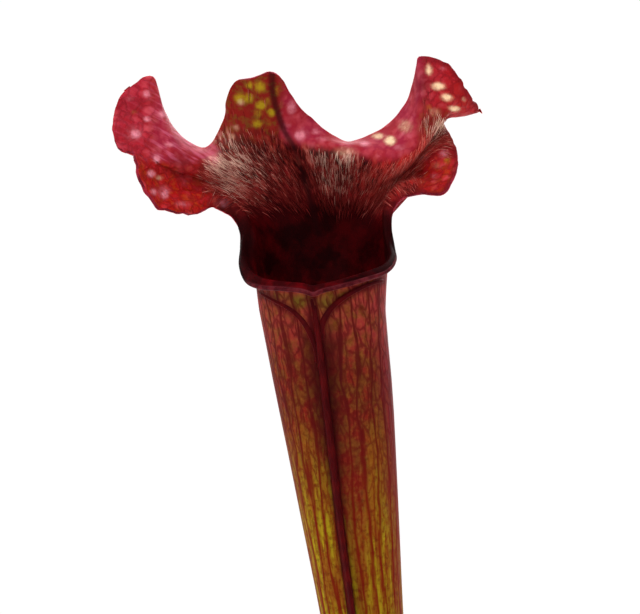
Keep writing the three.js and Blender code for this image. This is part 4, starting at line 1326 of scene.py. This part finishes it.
@dataclass
class Pitcher:
    """The open pitcher: its wall, wing, lip roll, nerves and the hairs of its lid."""

    wall: PitcherWall = field(default_factory=PitcherWall)
    wing_height: float = 2.9
    wing_root: float = 1.15
    wing_angle: float = 7.0
    wing_ends: tuple[float, float] = (-268.0, -0.6)
    wing_rows: int = 110
    wing_section: tuple[tuple[float, float], ...] = (
        (0, 1), (0.45, 0.62), (0.85, 0.42), (1, 0.2), (1, -0.2), (0.85, -0.42), (0.45, -0.62), (0, -1),
    )

    def build(self) -> list[Object]:
        """Returns every piece of the open pitcher."""
        sheet = self.wall.sheet()
        nerve = DarkNerve().build()
        pieces = [self.leaf(sheet), self.wing(nerve), self.lip(sheet, LipRoll().build())]
        return [*pieces, *self.nerves(nerve), *self.tips(sheet, nerve), LidHairs().build(sheet)]

    def leaf(self, sheet: Sheet) -> Object:
        """Returns the leaf itself, thickened from its middle surface."""
        rim = DarkNerve("margin_tissue", deep="#5a1420", light="#8a2030")
        finishes = [TubeSkin().build(), LidFace().build(), rim.build()]
        leaf = mesh_object("pitcher_leaf", sheet_bmesh(sheet), finishes)
        wall = leaf.modifiers.new("leaf_thickness", "SOLIDIFY")
        wall.thickness = (LEAF_THICKNESS - 0.1) * MM
        wall.offset = 0.0
        wall.use_even_offset = False
        wall.material_offset = 1
        wall.material_offset_rim = 2
        return leaf

    def tube_surface(
        self, height: np.ndarray, angle: np.ndarray, lift: float
    ) -> tuple[np.ndarray, np.ndarray]:
        """Returns points on the tube's outer skin and their outward directions.

        Args:
            height: Heights from the mouth's centre.
            angle: Angles from the front to the left, before the tube's twist.
            lift: How far above the skin, in mm.

        Returns:
            The points, and the directions.
        """
        row = tube_at(height)
        out = around(angle + row[:, 4], 1.0)
        points = out * (row[:, 3] + lift)[:, None] + np.stack([row[:, 1], row[:, 2], height], axis=-1)
        return points + MOUTH, out

    def wing(self, material: Material) -> Object:
        """Returns the wing, a keel down the front of the tube that thins towards its edge."""
        height = np.linspace(*self.wing_ends, self.wing_rows)
        grown = soft_range(-height, 3, 18, 205, 262)
        angle = np.full_like(height, self.wing_angle)
        skin, out = self.tube_surface(height, angle, -0.5)
        across = unit(np.cross([0.0, 0.0, 1.0], out))
        forward = np.array([0.0, -1.0, 0.0]) * (0.7 + self.wing_height * grown)[:, None]
        sway = 0.35 * np.sin(height / 17.0) * grown
        ring = []
        for share, side in self.wing_section:
            reach = self.wing_root * side * (0.65 + 0.35 * grown)
            ring.append(skin + forward * share + across * (reach + sway * share)[:, None])
        ring.append(ring[0])
        sheet = Sheet(np.stack(ring, axis=1))
        return mesh_object("pitcher_wing", sheet_bmesh(sheet, capped=True), [material])

    def lip(self, sheet: Sheet, material: Material) -> Object:
        """Returns the rolled lip's rounded edge, from one side of the neck by the front to the other."""
        angle = np.degrees(sheet.marks["wall"][-1, :-1, 0] / MOUTH_RADIUS)
        margin = sheet.points[-1, :-1]
        inward = sheet.points[-2, :-1] - margin
        start = int(np.argmax(angle >= self.wall.lip_start - 2))
        end = int(np.argmax(angle >= self.wall.lip_end + 2))
        order = np.concatenate([np.arange(start, len(angle)), np.arange(end)])
        path = margin[order] + unit(inward[order]) * 0.2
        share = np.linspace(0, 1, len(order))
        width = 0.26 + 0.26 * soft_range(share, 0.0, 0.12, 0.88, 1.0)
        out = unit(path - MOUTH + [0, 0, 2.0])
        bead = rod(path, out, width, width, 12)
        return mesh_object("pitcher_lip_roll", sheet_bmesh(bead, capped=True), [material])

    def tips(self, sheet: Sheet, material: Material) -> list[Object]:
        """Returns the small dry points on the lid's margin."""
        margin = sheet.points[-1] - MOUTH
        made = []
        for name, pixels in TIP_PIXELS.items():
            place = PHOTO.line(pixels)
            nearest = margin[np.argmin(np.linalg.norm(margin[:, [0, 2]] - place[0], axis=1))]
            ahead = np.insert(place - place[0], 1, 0.0, axis=1)
            knots = np.arange(len(pixels))
            path = smooth_rows(knots, nearest + ahead, np.linspace(0, knots[-1], 9)) + MOUTH
            width = np.linspace(0.42, 0.08, len(path))
            body = rod(path, np.tile([0.0, -1.0, 0.0], (len(path), 1)), width, 0.6 * width, 8)
            made.append(mesh_object(f"pitcher_tip_{name}", sheet_bmesh(body, capped=True), [material]))
        return made

    def nerves(self, material: Material) -> list[Object]:
        """Returns the three nerves that leave the wing under the lip."""
        made = []
        for name, pixels in NERVE_PIXELS.items():
            place = PHOTO.line(pixels)
            knots = distance_along(place)
            x, z = smooth_rows(knots, place, np.linspace(0, knots[-1], 40)).T
            row = tube_at(z)
            side = np.clip((x - row[:, 1]) / row[:, 3], -0.985, 0.985)
            angle = -np.degrees(np.arcsin(side)) - row[:, 4]
            path, out = self.tube_surface(z, angle, 0.0)
            path = path + out * (0.85 * smooth_step(z, -6.0, 0.0))[:, None]
            sheet = rod(path, out, np.linspace(0.35, 0.85, len(z)), np.linspace(0.16, 0.4, len(z)))
            made.append(mesh_object(f"pitcher_nerve_{name}", sheet_bmesh(sheet, capped=True), [material]))
        return made


@dataclass(frozen=True)
class LidHairs:
    """Stiff hairs on the lid's inner face, each a three-sided spike that bends down towards the throat."""

    count: int = 6100
    length: tuple[float, float] = (2.0, 4.0)
    thickness: float = 0.084
    scatter: float = 0.12
    rise: tuple[float, float] = (3.0, 15.0)
    seed: int = 11

    def spike(self) -> tuple[np.ndarray, np.ndarray]:
        """Returns one spike's points and triangles: a unit long along X, bent down at its middle."""
        shape = bmesh.new()
        bmesh.ops.create_cone(shape, segments=3, radius1=1.0, radius2=0.0, depth=1.0, cap_ends=False)
        bmesh.ops.remove_doubles(shape, verts=shape.verts, dist=1e-5)
        sides = [e for e in shape.edges if abs(e.verts[0].co.z - e.verts[1].co.z) > 0.5]
        bmesh.ops.subdivide_edges(shape, edges=sides, cuts=1)
        bmesh.ops.triangulate(shape, faces=shape.faces)
        points, faces = small_shape(shape)
        return points[:, [2, 0, 1]] + [0.5, 0.0, 0.0], faces

    def density(self, sheet: Sheet) -> np.ndarray:
        """Returns how thickly hairs stand at each corner of the sheet, from 0 to 1."""
        z = sheet.points[..., 2] - MOUTH[2]
        zones = sheet.marks["zones"]
        angle = np.degrees(sheet.marks["wall"][..., 0] / MOUTH_RADIUS)
        low = smooth_step(z, 16, 25)
        back = soft_range(angle, 100, 112, 243, 251)
        bare = 1 - np.clip(zones[..., 1] * 1.4, 0, 1)
        fleshy = 1 - zones[..., 2]
        middle = 1 - 0.97 * smooth_step(z, 32, 40) * (angle > 163) * (angle < 191)
        crease = 0.06 + 0.94 * smooth_step(zones[..., 0], 0.5, 1.8)
        thick = low * back * bare * fleshy * middle * crease * sheet.marks["details"][..., 2]
        return thick * (1 + 0.5 * sheet.marks["details"][..., 1] * bare)

    def build(self, sheet: Sheet) -> Object:
        """Returns all the hairs as one piece.

        Args:
            sheet: The pitcher's middle surface, which the hairs' roots stand on.
        """
        rng = np.random.default_rng(self.seed)
        points, normals, thick = sheet.points, sheet.normals(), self.density(sheet)
        steps_up = np.linalg.norm(np.diff(points, axis=0), axis=-1)[:, :-1]
        steps_along = np.linalg.norm(np.diff(points, axis=1), axis=-1)[:-1]
        weight = (steps_up * steps_along * thick[:-1, :-1]).ravel()
        chosen = rng.choice(weight.size, size=self.count, p=weight / weight.sum())
        row, column = np.unravel_index(chosen, steps_up.shape)
        s, t = rng.random((2, self.count))[..., None]
        low = points[row, column] * (1 - t) + points[row, column + 1] * t
        high = points[row + 1, column] * (1 - t) + points[row + 1, column + 1] * t
        inward = -normals[row, column]
        root = low * (1 - s) + high * s + inward * (LEAF_THICKNESS / 2 - 0.12)
        down = unit(low - high)
        side = np.cross(down, inward)
        tilt = rng.normal(0.0, self.scatter, (self.count, 1))
        down = unit(down + side * tilt)
        rise = np.radians(rng.uniform(*self.rise, (self.count, 1)))
        first = unit(down * np.cos(rise) + inward * np.sin(rise))
        lean = rise * rng.uniform(0.0, 0.5, (self.count, 1))
        second = unit(down * np.cos(lean) + inward * np.sin(lean) + [0, 0, -0.15])
        length = rng.uniform(*self.length, (self.count, 1)) * (0.75 + 0.25 * rng.random((self.count, 1)))
        thickness = self.thickness * rng.uniform(0.7, 1.25, (self.count, 1))
        spike, faces = self.spike()
        across = unit(np.cross(first, inward))
        upward = np.cross(across, first)
        early = np.minimum(spike[:, 0], 0.5)[None, :, None]
        late = np.maximum(spike[:, 0] - 0.5, 0.0)[None, :, None]
        bent = root[:, None] + (first[:, None] * early + second[:, None] * late) * length[:, None]
        ring = across[:, None] * spike[None, :, 1, None] + upward[:, None] * spike[None, :, 2, None]
        mesh = copies_mesh("pitcher_lid_hairs", bent + ring * thickness[:, None], faces)
        tint = self.tint(rng, root, sheet.marks["zones"][row, column, 0])
        tint = np.repeat(tint, len(spike), axis=0)
        mesh.attributes.new("tint", "FLOAT_VECTOR", "POINT").data.foreach_set("vector", tint.ravel())
        mesh.materials.append(GuardHair().build())
        mesh.shade_smooth()
        return link_mesh("pitcher_lid_hairs", mesh)

    def tint(self, rng: np.random.Generator, root: np.ndarray, off: np.ndarray) -> np.ndarray:
        """Returns each hair's paleness and flush, with a zero that fills the mark's third channel.

        Args:
            rng: The draw that places the hairs.
            root: The hairs' roots.
            off: Their distance from the midrib, beside which they are dulled with painted shade of its
                crease.
        """
        high_up = smooth_step(root[:, 2] - MOUTH[2], 20.0, 30.0)
        # The flush spots give crimson hairs, made brighter as painted light in the crease's shade.
        tuft, flush = (spot_share(root, spots) for spots in (TUFTS, CRIMSON_AND_PAINTED_LIGHT_SPOTS))
        parted = smooth_step(off, 0.8, 3.0)
        is_pale = rng.random(self.count) < 0.05 + 0.16 * high_up + 0.7 * tuft + 0.3 * flush
        bright = rng.uniform(0.5, 0.76, self.count) + 0.5 * tuft + 0.1 * flush
        dull = rng.uniform(0.0, 0.3, self.count) + 0.25 * tuft
        pale = np.minimum(np.where(is_pale, bright, dull), 1.0) * (0.4 + 0.6 * parted)
        flush = flush * rng.choice([0.4, 0.9], self.count)
        return np.stack([pale, flush, 0 * pale], axis=-1)


@dataclass
class YoungPitcher:
    """A slim pitcher that hasn't opened yet, its small lid still folded over its mouth."""

    foot: tuple[float, float] = (26.3, 4.8)
    height: float = 172.0
    lean: tuple[float, float] = (10.0, -10.0)
    radius: float = 5.2
    girth: float = 38.0
    sides: int = 48
    rows: int = 120
    shape: tuple[tuple[float, float], ...] = (
        (0, 0.62), (0.04, 0.6), (0.12, 0.52), (0.3, 0.58), (0.5, 0.76), (0.66, 0.92), (0.78, 1.0),
        (0.85, 1.0), (0.89, 0.84), (0.92, 0.8), (0.955, 0.86), (0.98, 0.6), (1, 0.16),
    )

    def build(self) -> Object:
        """Returns the finished young pitcher."""
        table = np.array(self.shape, float)
        share = np.linspace(0, 1, self.rows)
        width = smooth_rows(table[:, 0], table[:, 1:], share)[:, 0]
        bend = share**2
        lid_lean = 9 * smooth_step(share, 0.86, 1)
        centre = np.stack(
            [
                self.foot[0] + self.lean[0] * bend,
                self.foot[1] + self.lean[1] * bend - lid_lean,
                SOCKET_FLOOR + self.height * share,
            ],
            axis=-1,
        )
        angle = np.linspace(0, 360, self.sides + 1)
        ring = around(angle, 1.0)
        points = centre[:, None] + ring[None] * (self.radius * width)[:, None, None]
        wing = 1.6 * soft_range(share, 0.12, 0.3, 0.8, 0.88)
        near_front = np.exp(-((np.minimum(angle, 360 - angle) / 7.5) ** 2))
        points[..., 1] -= wing[:, None] * near_front[None]
        along = (share * self.height)[:, None] + 0 * angle[None]
        across = self.girth * angle[None] / 360 + 0 * along
        # The skin reads heights from a mouth 10 mm above the tip, and has no margin within 9 mm.
        wall = np.stack([across, along - self.height - 10, 9 + 0 * along], axis=-1)
        sheet = Sheet(points, {"wall": wall, "details": np.full_like(wall, FAR)})
        skin = TubeSkin(
            brown="#8f7434",
            rust="#98703a",
            rose="#9a5a3c",
            ochre="#93903a",
            olive="#93a03c",
            green="#7c9a3c",
            vein="#7c3420",
            low_vein="#7c3420",
            girth=self.girth,
            front=0.0,
        )
        return mesh_object("young_pitcher_body", sheet_bmesh(sheet, capped=True), [skin.build()])


@dataclass
class SwordLeaf:
    """A flat sword-shaped leaf, thick along its middle and thin at its two edges."""

    name: str
    foot: tuple[float, float]
    heading: float
    height: float
    reach: float
    width: float
    rows: int = 90
    middle: float = 2.2
    shape: tuple[tuple[float, float], ...] = (
        (0, 0.3), (0.05, 0.3), (0.13, 0.42), (0.25, 0.7), (0.4, 0.93), (0.55, 1.0), (0.7, 0.9),
        (0.82, 0.68), (0.91, 0.42), (0.97, 0.18), (1, 0.05),
    )
    section: tuple[tuple[float, float], ...] = (
        (1, 0.3), (0.85, 0.5), (0.5, 0.85), (0.12, 1.0), (0, 1.12),
        (-0.12, 1.0), (-0.5, 0.85), (-0.85, 0.5), (-1, 0.3),
    )

    def build(self, material: Material) -> Object:
        """Returns the finished leaf.

        Args:
            material: The blade's finish.
        """
        turn = math.radians(self.heading)
        out = np.array([math.cos(turn), math.sin(turn), 0.0])
        across = np.array([-out[1], out[0], 0.0])
        share = np.linspace(0, 1, self.rows)
        table = np.array(self.shape, float)
        part = np.maximum(smooth_rows(table[:, 0], table[:, 1:], share)[:, 0], 0.04)
        rise = self.height * np.sin((np.pi / 2) * share**0.96)
        spine = np.array([*self.foot, SOCKET_FLOOR]) + out * (self.reach * share**2.2)[:, None]
        spine[:, 2] += rise
        along = unit(np.gradient(spine, axis=0))
        wide = unit(np.cross(across[None], along))
        wide = wide * np.sign(wide @ out)[:, None]
        section = np.array(self.section, float)
        section = np.vstack([section, section[::-1] * [1, -1], section[:1]])
        half = self.width * part / 2
        thick = self.middle * (1 - 0.45 * share) / 2
        wave = 0.5 * np.sin(share * 21.0) * smooth_step(share, 0.2, 0.5)
        points = spine[:, None] + wide[:, None] * (half[:, None] * section[None, :, 0])[..., None]
        sideways = -thick[:, None] * section[None, :, 1] + (wave[:, None] * section[None, :, 0] ** 2)
        points = points + across * sideways[..., None]
        place = half[:, None] * section[None, :, 0]
        length = distance_along(spine)[:, None] + 0 * place
        to_edge = half[:, None] * (1 - np.abs(section[None, :, 0]))
        sheet = Sheet(points, {"wall": np.stack([place, length, to_edge], axis=-1)})
        return mesh_object(f"{self.name}_blade", sheet_bmesh(sheet, capped=True), [material])


@dataclass
class Crown:
    """The rootstock that the leaves stand on, half sunk in the potting mix."""

    centre: tuple[float, float, float] = (12.0, 6.0, 86.0)
    half_length: float = 27.0
    radius: float = 8.8
    turn: float = 8.0
    rows: int = 90
    sides: int = 64
    # The dry scales: x and y of the stem that each clasps, its radius, the scale's height and its facing.
    scales: tuple[tuple[float, ...], ...] = (
        (12.0, 8.4, 5.0, 17, 200), (12.4, 8.0, 5.1, 13, 20), (26.4, 4.9, 3.9, 14, 150),
        (33.6, 8.0, 3.4, 12, 300), (19.2, 8.9, 3.4, 15, 60), (-3.0, 4.0, 3.3, 12, 240),
        (2.5, 6.5, 3.5, 9, 130),
    )

    def build(self) -> Object:
        """Returns the finished rootstock."""
        share = np.linspace(0, 1, self.rows)
        angle = np.linspace(0, 2 * np.pi, self.sides + 1)
        lumps = 0.5 * np.sin(share * 46.0)[:, None] + 0.35 * np.sin(3 * angle + share[:, None] * 9)
        swell = np.sin(np.pi * np.clip(share, 0.002, 0.998)) ** 0.6
        radius = (self.radius + lumps) * swell[:, None]
        x = -self.half_length * np.cos(np.pi * share)
        x = x[:, None] + 0 * radius
        points = np.stack([x, radius * np.cos(angle), radius * np.sin(angle)], axis=-1)
        turn = np.array(Matrix.Rotation(math.radians(self.turn), 3, "Z"))
        points = points @ turn.T + np.array(self.centre)
        points[:, -1] = points[:, 0]
        body = sheet_bmesh(Sheet(points), capped=True)
        return mesh_object("crown_rootstock", body, [Rootstock().build()])

    def sheaths(self) -> Object:
        """Returns the dry brown scales that clasp the stems' feet."""
        whole = bmesh.new()
        for x, y, radius, height, facing in self.scales:
            share = np.linspace(0, 1, 14)[:, None]
            across = np.linspace(-1, 1, 11)[None]
            # Half the angle that the scale takes up round its stem, least at its tip.
            span = 95 * (1 - share**2.2) + 3
            turn = facing + across * span
            reach = radius + 0.5 + 1.3 * share**2
            ring = around(turn, reach)
            ring[..., 2] = height * share - 0.12 * height * across**2 * share
            points = ring + np.array([x, y, SOCKET_FLOOR - 0.5])
            part = sheet_bmesh(Sheet(points, closed=False))
            mesh = bpy.data.meshes.new("scale")
            part.to_mesh(mesh)
            part.free()
            whole.from_mesh(mesh)
            bpy.data.meshes.remove(mesh)
        finish = Rootstock("dry_scale_leaf", dark="#4c2f1c", light="#96704a").build()
        piece = mesh_object("crown_dry_scales", whole, [finish])
        wall = piece.modifiers.new("scale_thickness", "SOLIDIFY")
        wall.thickness = 0.35 * MM
        wall.offset = 0.0
        return piece


def turned(profile: list[tuple[float, float]], steps: int) -> BMesh:
    """Turns a profile round the Z axis.

    Args:
        profile: Radius and height pairs in mm, from the axis to the axis.
        steps: The number of steps once round.

    Returns:
        The closed body, facing outwards.
    """
    shape = bmesh.new()
    verts = [shape.verts.new((radius * MM, 0.0, height * MM)) for radius, height in profile]
    edges = [shape.edges.new(pair) for pair in zip(verts, verts[1:])]
    bmesh.ops.spin(
        shape,
        geom=[*verts, *edges],
        cent=(0, 0, 0),
        axis=(0, 0, 1),
        angle=2 * math.pi,
        steps=steps,
        use_merge=True,
    )
    bmesh.ops.remove_doubles(shape, verts=shape.verts, dist=1e-7)
    bmesh.ops.recalc_face_normals(shape, faces=shape.faces)
    return shape


@dataclass
class Pot:
    """Plain tapered nursery pot with a collar, a rounded rim and drainage holes."""

    height: float = 100.0
    rim_radius: float = 62.0
    foot_radius: float = 45.0
    wall: float = 2.0
    floor: float = 3.0
    collar: float = 10.0
    collar_wall: float = 3.0
    hole_radius: float = 5.0
    hole_circle: float = 30.0
    holes: int = 6
    steps: int = 160
    crisp_angle: float = 38.0

    def body_radius(self, height: float) -> float:
        """Returns the outer radius of the tapered body at a height."""
        taper = self.rim_radius - self.collar_wall - self.foot_radius
        return self.foot_radius + taper * height / self.height

    def build(self) -> Object:
        """Returns the finished pot."""
        collar = self.height - self.collar
        inside = self.rim_radius - self.collar_wall
        profile = [
            (0, 0), (self.foot_radius - 1.2, 0), (self.foot_radius - 0.35, 0.35), (self.foot_radius, 1.2),
            (self.body_radius(collar), collar),
            (self.rim_radius - 0.8, collar + 0.6), (self.rim_radius - 0.15, collar + 1.1),
            (self.rim_radius, collar + 2),
            (self.rim_radius + 0.4, self.height - 1.4), (self.rim_radius + 0.2, self.height - 0.7),
            (self.rim_radius - 0.3, self.height - 0.2), (self.rim_radius - 1.4, self.height),
            (inside + 0.6, self.height - 0.4), (inside + 0.1, self.height - 0.9),
            (inside, self.height - 1.6),
            (inside - 0.4, collar + 1), (self.body_radius(collar) - self.wall, collar - 1),
            (self.body_radius(self.floor) - self.wall - 1, self.floor + 1.5),
            (self.body_radius(self.floor) - self.wall - 3, self.floor), (0, self.floor),
        ]
        pot = mesh_object("nursery_pot", turned(profile, self.steps), [MouldedPolypropylene().build()])
        self.drill(pot)
        self.sharpen(pot)
        return pot

    def drill(self, pot: Object) -> None:
        """Cuts the drainage holes through the floor."""
        bits = bmesh.new()
        for k in range(self.holes):
            turn = 2 * math.pi * (k + 0.5) / self.holes
            place = Matrix.Translation(
                (self.hole_circle * math.cos(turn) * MM, self.hole_circle * math.sin(turn) * MM, 0)
            )
            radius = self.hole_radius * MM
            bmesh.ops.create_cone(
                bits,
                cap_ends=True,
                segments=32,
                radius1=radius,
                radius2=radius,
                depth=4 * self.floor * MM,
                matrix=place,
            )
        cutter = mesh_object("drain_bits", bits, [])
        cut = pot.modifiers.new("drain_holes", "BOOLEAN")
        cut.operation = "DIFFERENCE"
        cut.solver = "EXACT"
        cut.object = cutter
        with bpy.context.temp_override(object=pot, active_object=pot, selected_objects=[pot]):
            bpy.ops.object.modifier_apply(modifier=cut.name)
        bpy.data.objects.remove(cutter)

    def sharpen(self, pot: Object) -> None:
        """Keeps the pot's hard corners crisp under smooth shading."""
        shape = bmesh.new()
        shape.from_mesh(pot.data)
        for edge in shape.edges:
            if len(edge.link_faces) == 2 and edge.calc_face_angle() > math.radians(self.crisp_angle):
                edge.smooth = False
        shape.to_mesh(pot.data)
        shape.free()


@dataclass
class PottingMix:
    """Peaty mix in the pot, with crumbs, perlite and strands of moss on its surface."""

    pot: Pot = field(default_factory=Pot)
    dome: float = 3.0
    gap: float = 0.3
    crumbs: int = 1500
    crumb_size: tuple[float, float] = (0.7, 2.4)
    perlite: int = 170
    perlite_size: tuple[float, float] = (0.8, 1.9)
    moss: int = 520
    moss_centres: int = 60
    moss_reach: float = 46.0
    seed: int = 5

    def reach(self, height: float) -> float:
        """Returns how far the mix reaches at a height, clear of the pot's wall."""
        return self.pot.body_radius(height) - self.pot.wall - 2 * self.gap

    def top(self, x: np.ndarray, y: np.ndarray) -> np.ndarray:
        """Returns the height of the mix's surface."""
        share = np.hypot(x, y) / self.pot.body_radius(MIX_LEVEL)
        lumps = np.sin(x * 0.31 + 1.3) * np.cos(y * 0.27) + 0.6 * np.sin(x * 0.62 - y * 0.55)
        fine = 0.35 * np.sin(x * 1.7 + 0.6 * y) * np.sin(y * 1.9 - 0.3 * x)
        return MIX_LEVEL + self.dome * (1 - share**2) + (0.55 * lumps + fine) * (1 - share**6)

    def build(self) -> list[Object]:
        """Returns the mix and what lies on it."""
        peat = PottingPeat().build()
        return [
            self.body(peat),
            self.scatter("mix_peat_crumbs", peat, self.crumbs, self.crumb_size, self.seed),
            self.scatter("mix_perlite", Perlite().build(), self.perlite, self.perlite_size, self.seed + 1),
            self.strands(),
        ]

    def body(self, material: Material) -> Object:
        """Returns the body of the mix, turned up and given its uneven top."""
        low = self.pot.floor + self.gap
        profile = [(0.0, low), (self.reach(self.pot.floor) - 4, low)]
        profile.append((self.reach(self.pot.floor + 2.5) - 1, low + 2))
        edge, rings = self.reach(MIX_LEVEL), 42
        profile.extend((edge * (1 - k / rings), MIX_LEVEL) for k in range(rings + 1))
        shape = turned(profile, 144)
        for vert in shape.verts:
            if vert.co.z > (MIX_LEVEL - 0.01) * MM:
                vert.co.z = float(self.top(vert.co.x / MM, vert.co.y / MM)) * MM
        return mesh_object("mix_body", shape, [material])

    def scatter(
        self, name: str, material: Material, count: int, size: tuple[float, float], seed: int
    ) -> Object:
        """Returns grains strewn over the mix.

        Args:
            name: The piece's name.
            material: The grains' finish.
            count: How many grains.
            size: Their smallest and largest size in mm.
            seed: The seed of the draw.

        Returns:
            The grains as one piece.
        """
        rng = np.random.default_rng(seed)
        shape = bmesh.new()
        bmesh.ops.create_icosphere(shape, subdivisions=1, radius=0.5)
        grain, faces = small_shape(shape)
        reach = (self.pot.body_radius(MIX_LEVEL) - 5.0) * np.sqrt(rng.random(count))
        turn = rng.uniform(0, 2 * np.pi, count)
        x, y = reach * np.cos(turn), reach * np.sin(turn)
        sizes = rng.uniform(0, 1, count) ** 2.2 * (size[1] - size[0]) + size[0]
        spins = np.linalg.qr(rng.normal(size=(count, 3, 3)))[0]
        shapes = grain[None] * rng.uniform(0.6, 1.3, (count, 1, 3))
        shapes = shapes * rng.uniform(0.75, 1.2, (count, len(grain), 1))
        placed = np.einsum("nij,nkj->nki", spins, shapes) * sizes[:, None, None]
        z = self.top(x, y) + sizes * 0.12
        mesh = copies_mesh(name, placed + np.stack([x, y, z], axis=-1)[:, None], faces)
        mesh.materials.append(material)
        return link_mesh(name, mesh)

    def strands(self) -> Object:
        """Returns tufts of moss: short bent blades round a few dozen centres."""
        rng = np.random.default_rng(self.seed + 2)
        centres = rng.uniform(-self.moss_reach, self.moss_reach, (self.moss_centres, 2))
        centres = centres[np.hypot(*centres.T) < self.moss_reach + 2]
        home = centres[rng.integers(0, len(centres), self.moss)] + rng.normal(0, 2.2, (self.moss, 2))
        home = home[np.hypot(*home.T) < self.moss_reach + 6]
        x, y = home.T
        count = len(home)
        length = rng.uniform(2.0, 4.6, count)
        turn = rng.uniform(0, 2 * np.pi, count)
        lean = np.stack([np.cos(turn), np.sin(turn), 0 * turn], axis=-1)
        side = np.stack([-np.sin(turn), np.cos(turn), 0 * turn], axis=-1)
        root = np.stack([x, y, self.top(x, y) - 0.3], axis=-1)
        shape = bmesh.new()
        bmesh.ops.create_cone(shape, segments=4, radius1=0.5, radius2=0.12, depth=1.0, cap_ends=False)
        blade, faces = small_shape(shape)
        blade = blade + [0.0, 0.0, 0.5]
        bend = lean[:, None] * (blade[None, :, 2:] ** 2) * 0.6 + np.array([0, 0, 1.0]) * blade[None, :, 2:]
        thick = lean[:, None] * blade[None, :, :1] * 0.5 + side[:, None] * blade[None, :, 1:2]
        placed = root[:, None] + bend * length[:, None, None] + thick * 0.9
        mesh = copies_mesh("mix_bog_moss", placed, faces)
        mesh.materials.append(BogMoss().build())
        mesh.shade_smooth()
        return link_mesh("mix_bog_moss", mesh)


@dataclass
class Studio:
    """White surroundings, soft lights, and a long lens at the photograph's angle."""

    distance: float = 1150.0
    frame_width: float = 150.4
    aim: tuple[float, float] = (-18.0, 369.0)
    lamp_aim_drop: float = 40.0
    sensor: float = 36.0
    front_light: float = 0.3
    top_light: float = 0.85
    back_light: float = 0.6
    backdrop: float = 1.02
    paper: float = 2300.0
    # The lamps: name, place from the point that they face in mm, side in mm and power in watts.
    lamps: tuple[tuple, ...] = (
        ("key", (-620, -820, 760), 620, 8.0),
        ("fill", (760, -720, 320), 700, 2.5),
        ("behind", (120, 900, 480), 900, 12.0),
    )

    def build(self) -> None:
        """Adds the paper, the world, the lights and the camera."""
        sheet = bmesh.new()
        bmesh.ops.create_circle(sheet, cap_ends=True, segments=96, radius=self.paper * MM)
        floor = mesh_object("studio_floor", sheet, [PaperSweep().build()])
        self.world()
        middle = Vector((self.aim[0], MOUTH[1], self.aim[1] - self.lamp_aim_drop)) * MM
        for name, offset, size, power in self.lamps:
            self.light(name, middle, offset, size, power)
        self.camera()

    def world(self) -> None:
        """Sets an even white surround, brighter to the eye than it lights the plant."""
        scene = bpy.context.scene
        world = bpy.data.worlds.new("white_surround")
        scene.world = world
        world.use_nodes = True
        tree = world.node_tree
        tree.nodes.clear()
        direction = add_node(tree, "TexCoord").outputs["Generated"]
        look = add_node(tree, "SeparateXYZ", None, {"Vector": direction})
        glow = self.front_light
        for axis, light in (("Z", self.top_light), ("Y", self.back_light)):
            limits = {"Value": look.outputs[axis], "From Min": -0.1, "From Max": 0.9, "To Max": light}
            part = add_node(tree, "MapRange", {"interpolation_type": "SMOOTHSTEP"}, limits)
            glow = add_node(tree, "Math", {"operation": "ADD"}, {0: glow, 1: part})
        seen = add_node(tree, "LightPath").outputs["Is Camera Ray"]
        strengths = {"Factor": seen, "A": glow, "B": self.backdrop}
        strength = add_node(tree, "Mix", {"data_type": "FLOAT"}, strengths)
        white = add_node(tree, "Background", None, {"Color": linear("#ffffff"), "Strength": strength})
        add_node(tree, "OutputWorld", None, {"Surface": white})
        scene.view_settings.view_transform = "Standard"

    def light(
        self, name: str, middle: Vector, offset: tuple[float, float, float], size: float, power: float
    ) -> None:
        """Adds one soft square light that faces the plant.

        Args:
            name: The light's name.
            middle: The point that it faces, in metres.
            offset: Where it hangs from that point, in mm.
            size: Its side in mm.
            power: Its power in watts.
        """
        data = bpy.data.lights.new(name, "AREA")
        data.size = size * MM
        data.energy = power
        lamp = bpy.data.objects.new(name, data)
        lamp.location = middle + Vector(offset) * MM
        lamp.rotation_euler = (middle - lamp.location).to_track_quat("-Z", "Y").to_euler()
        bpy.context.scene.collection.objects.link(lamp)

    def camera(self) -> None:
        """Adds the camera, level with the point that it aims at and straight in front of it."""
        data = bpy.data.cameras.new("photo_lens")
        data.sensor_width = self.sensor
        data.lens = self.sensor * self.distance / self.frame_width
        data.clip_end = 100
        camera = bpy.data.objects.new("photo_camera", data)
        camera.location = Vector((self.aim[0], MOUTH[1] - self.distance, self.aim[1])) * MM
        camera.rotation_euler = (math.pi / 2, 0, 0)
        bpy.context.scene.collection.objects.link(camera)
        bpy.context.scene.camera = camera


def dress(pieces: list[Object], node: str) -> None:
    """Puts pieces in place of a CAD node.

    Args:
        pieces: The finished pieces.
        node: The node that they stand for.
    """
    for piece in pieces:
        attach(piece, "root")
        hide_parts(node)
        LOG.info("%s for %s: %d faces", piece.name, node, len(piece.data.polygons))


def main() -> None:
    """Builds the plant, its pot and the studio, in order."""
    logging.basicConfig(level=logging.INFO, format="%(message)s")
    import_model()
    Studio().build()
    crown = Crown()
    dress([Pot().build()], "pot")
    dress(PottingMix().build(), "potting_mix")
    dress([crown.build(), crown.sheaths()], "crown")
    dress(Pitcher().build(), "pitcher")
    dress([YoungPitcher().build()], "young_pitcher")
    blade = GreenBlade().build()
    for leaf in (
        SwordLeaf("sword_leaf_1", (33.5, 8), 12, 150, 46, 15),
        SwordLeaf("sword_leaf_2", (19.2, 8.8), 80, 176, 38, 17),
        SwordLeaf("sword_leaf_3", (-3, 4), 205, 128, 52, 14),
    ):
        dress([leaf.build(blade)], leaf.name)


if __name__ == "__main__":
    main()
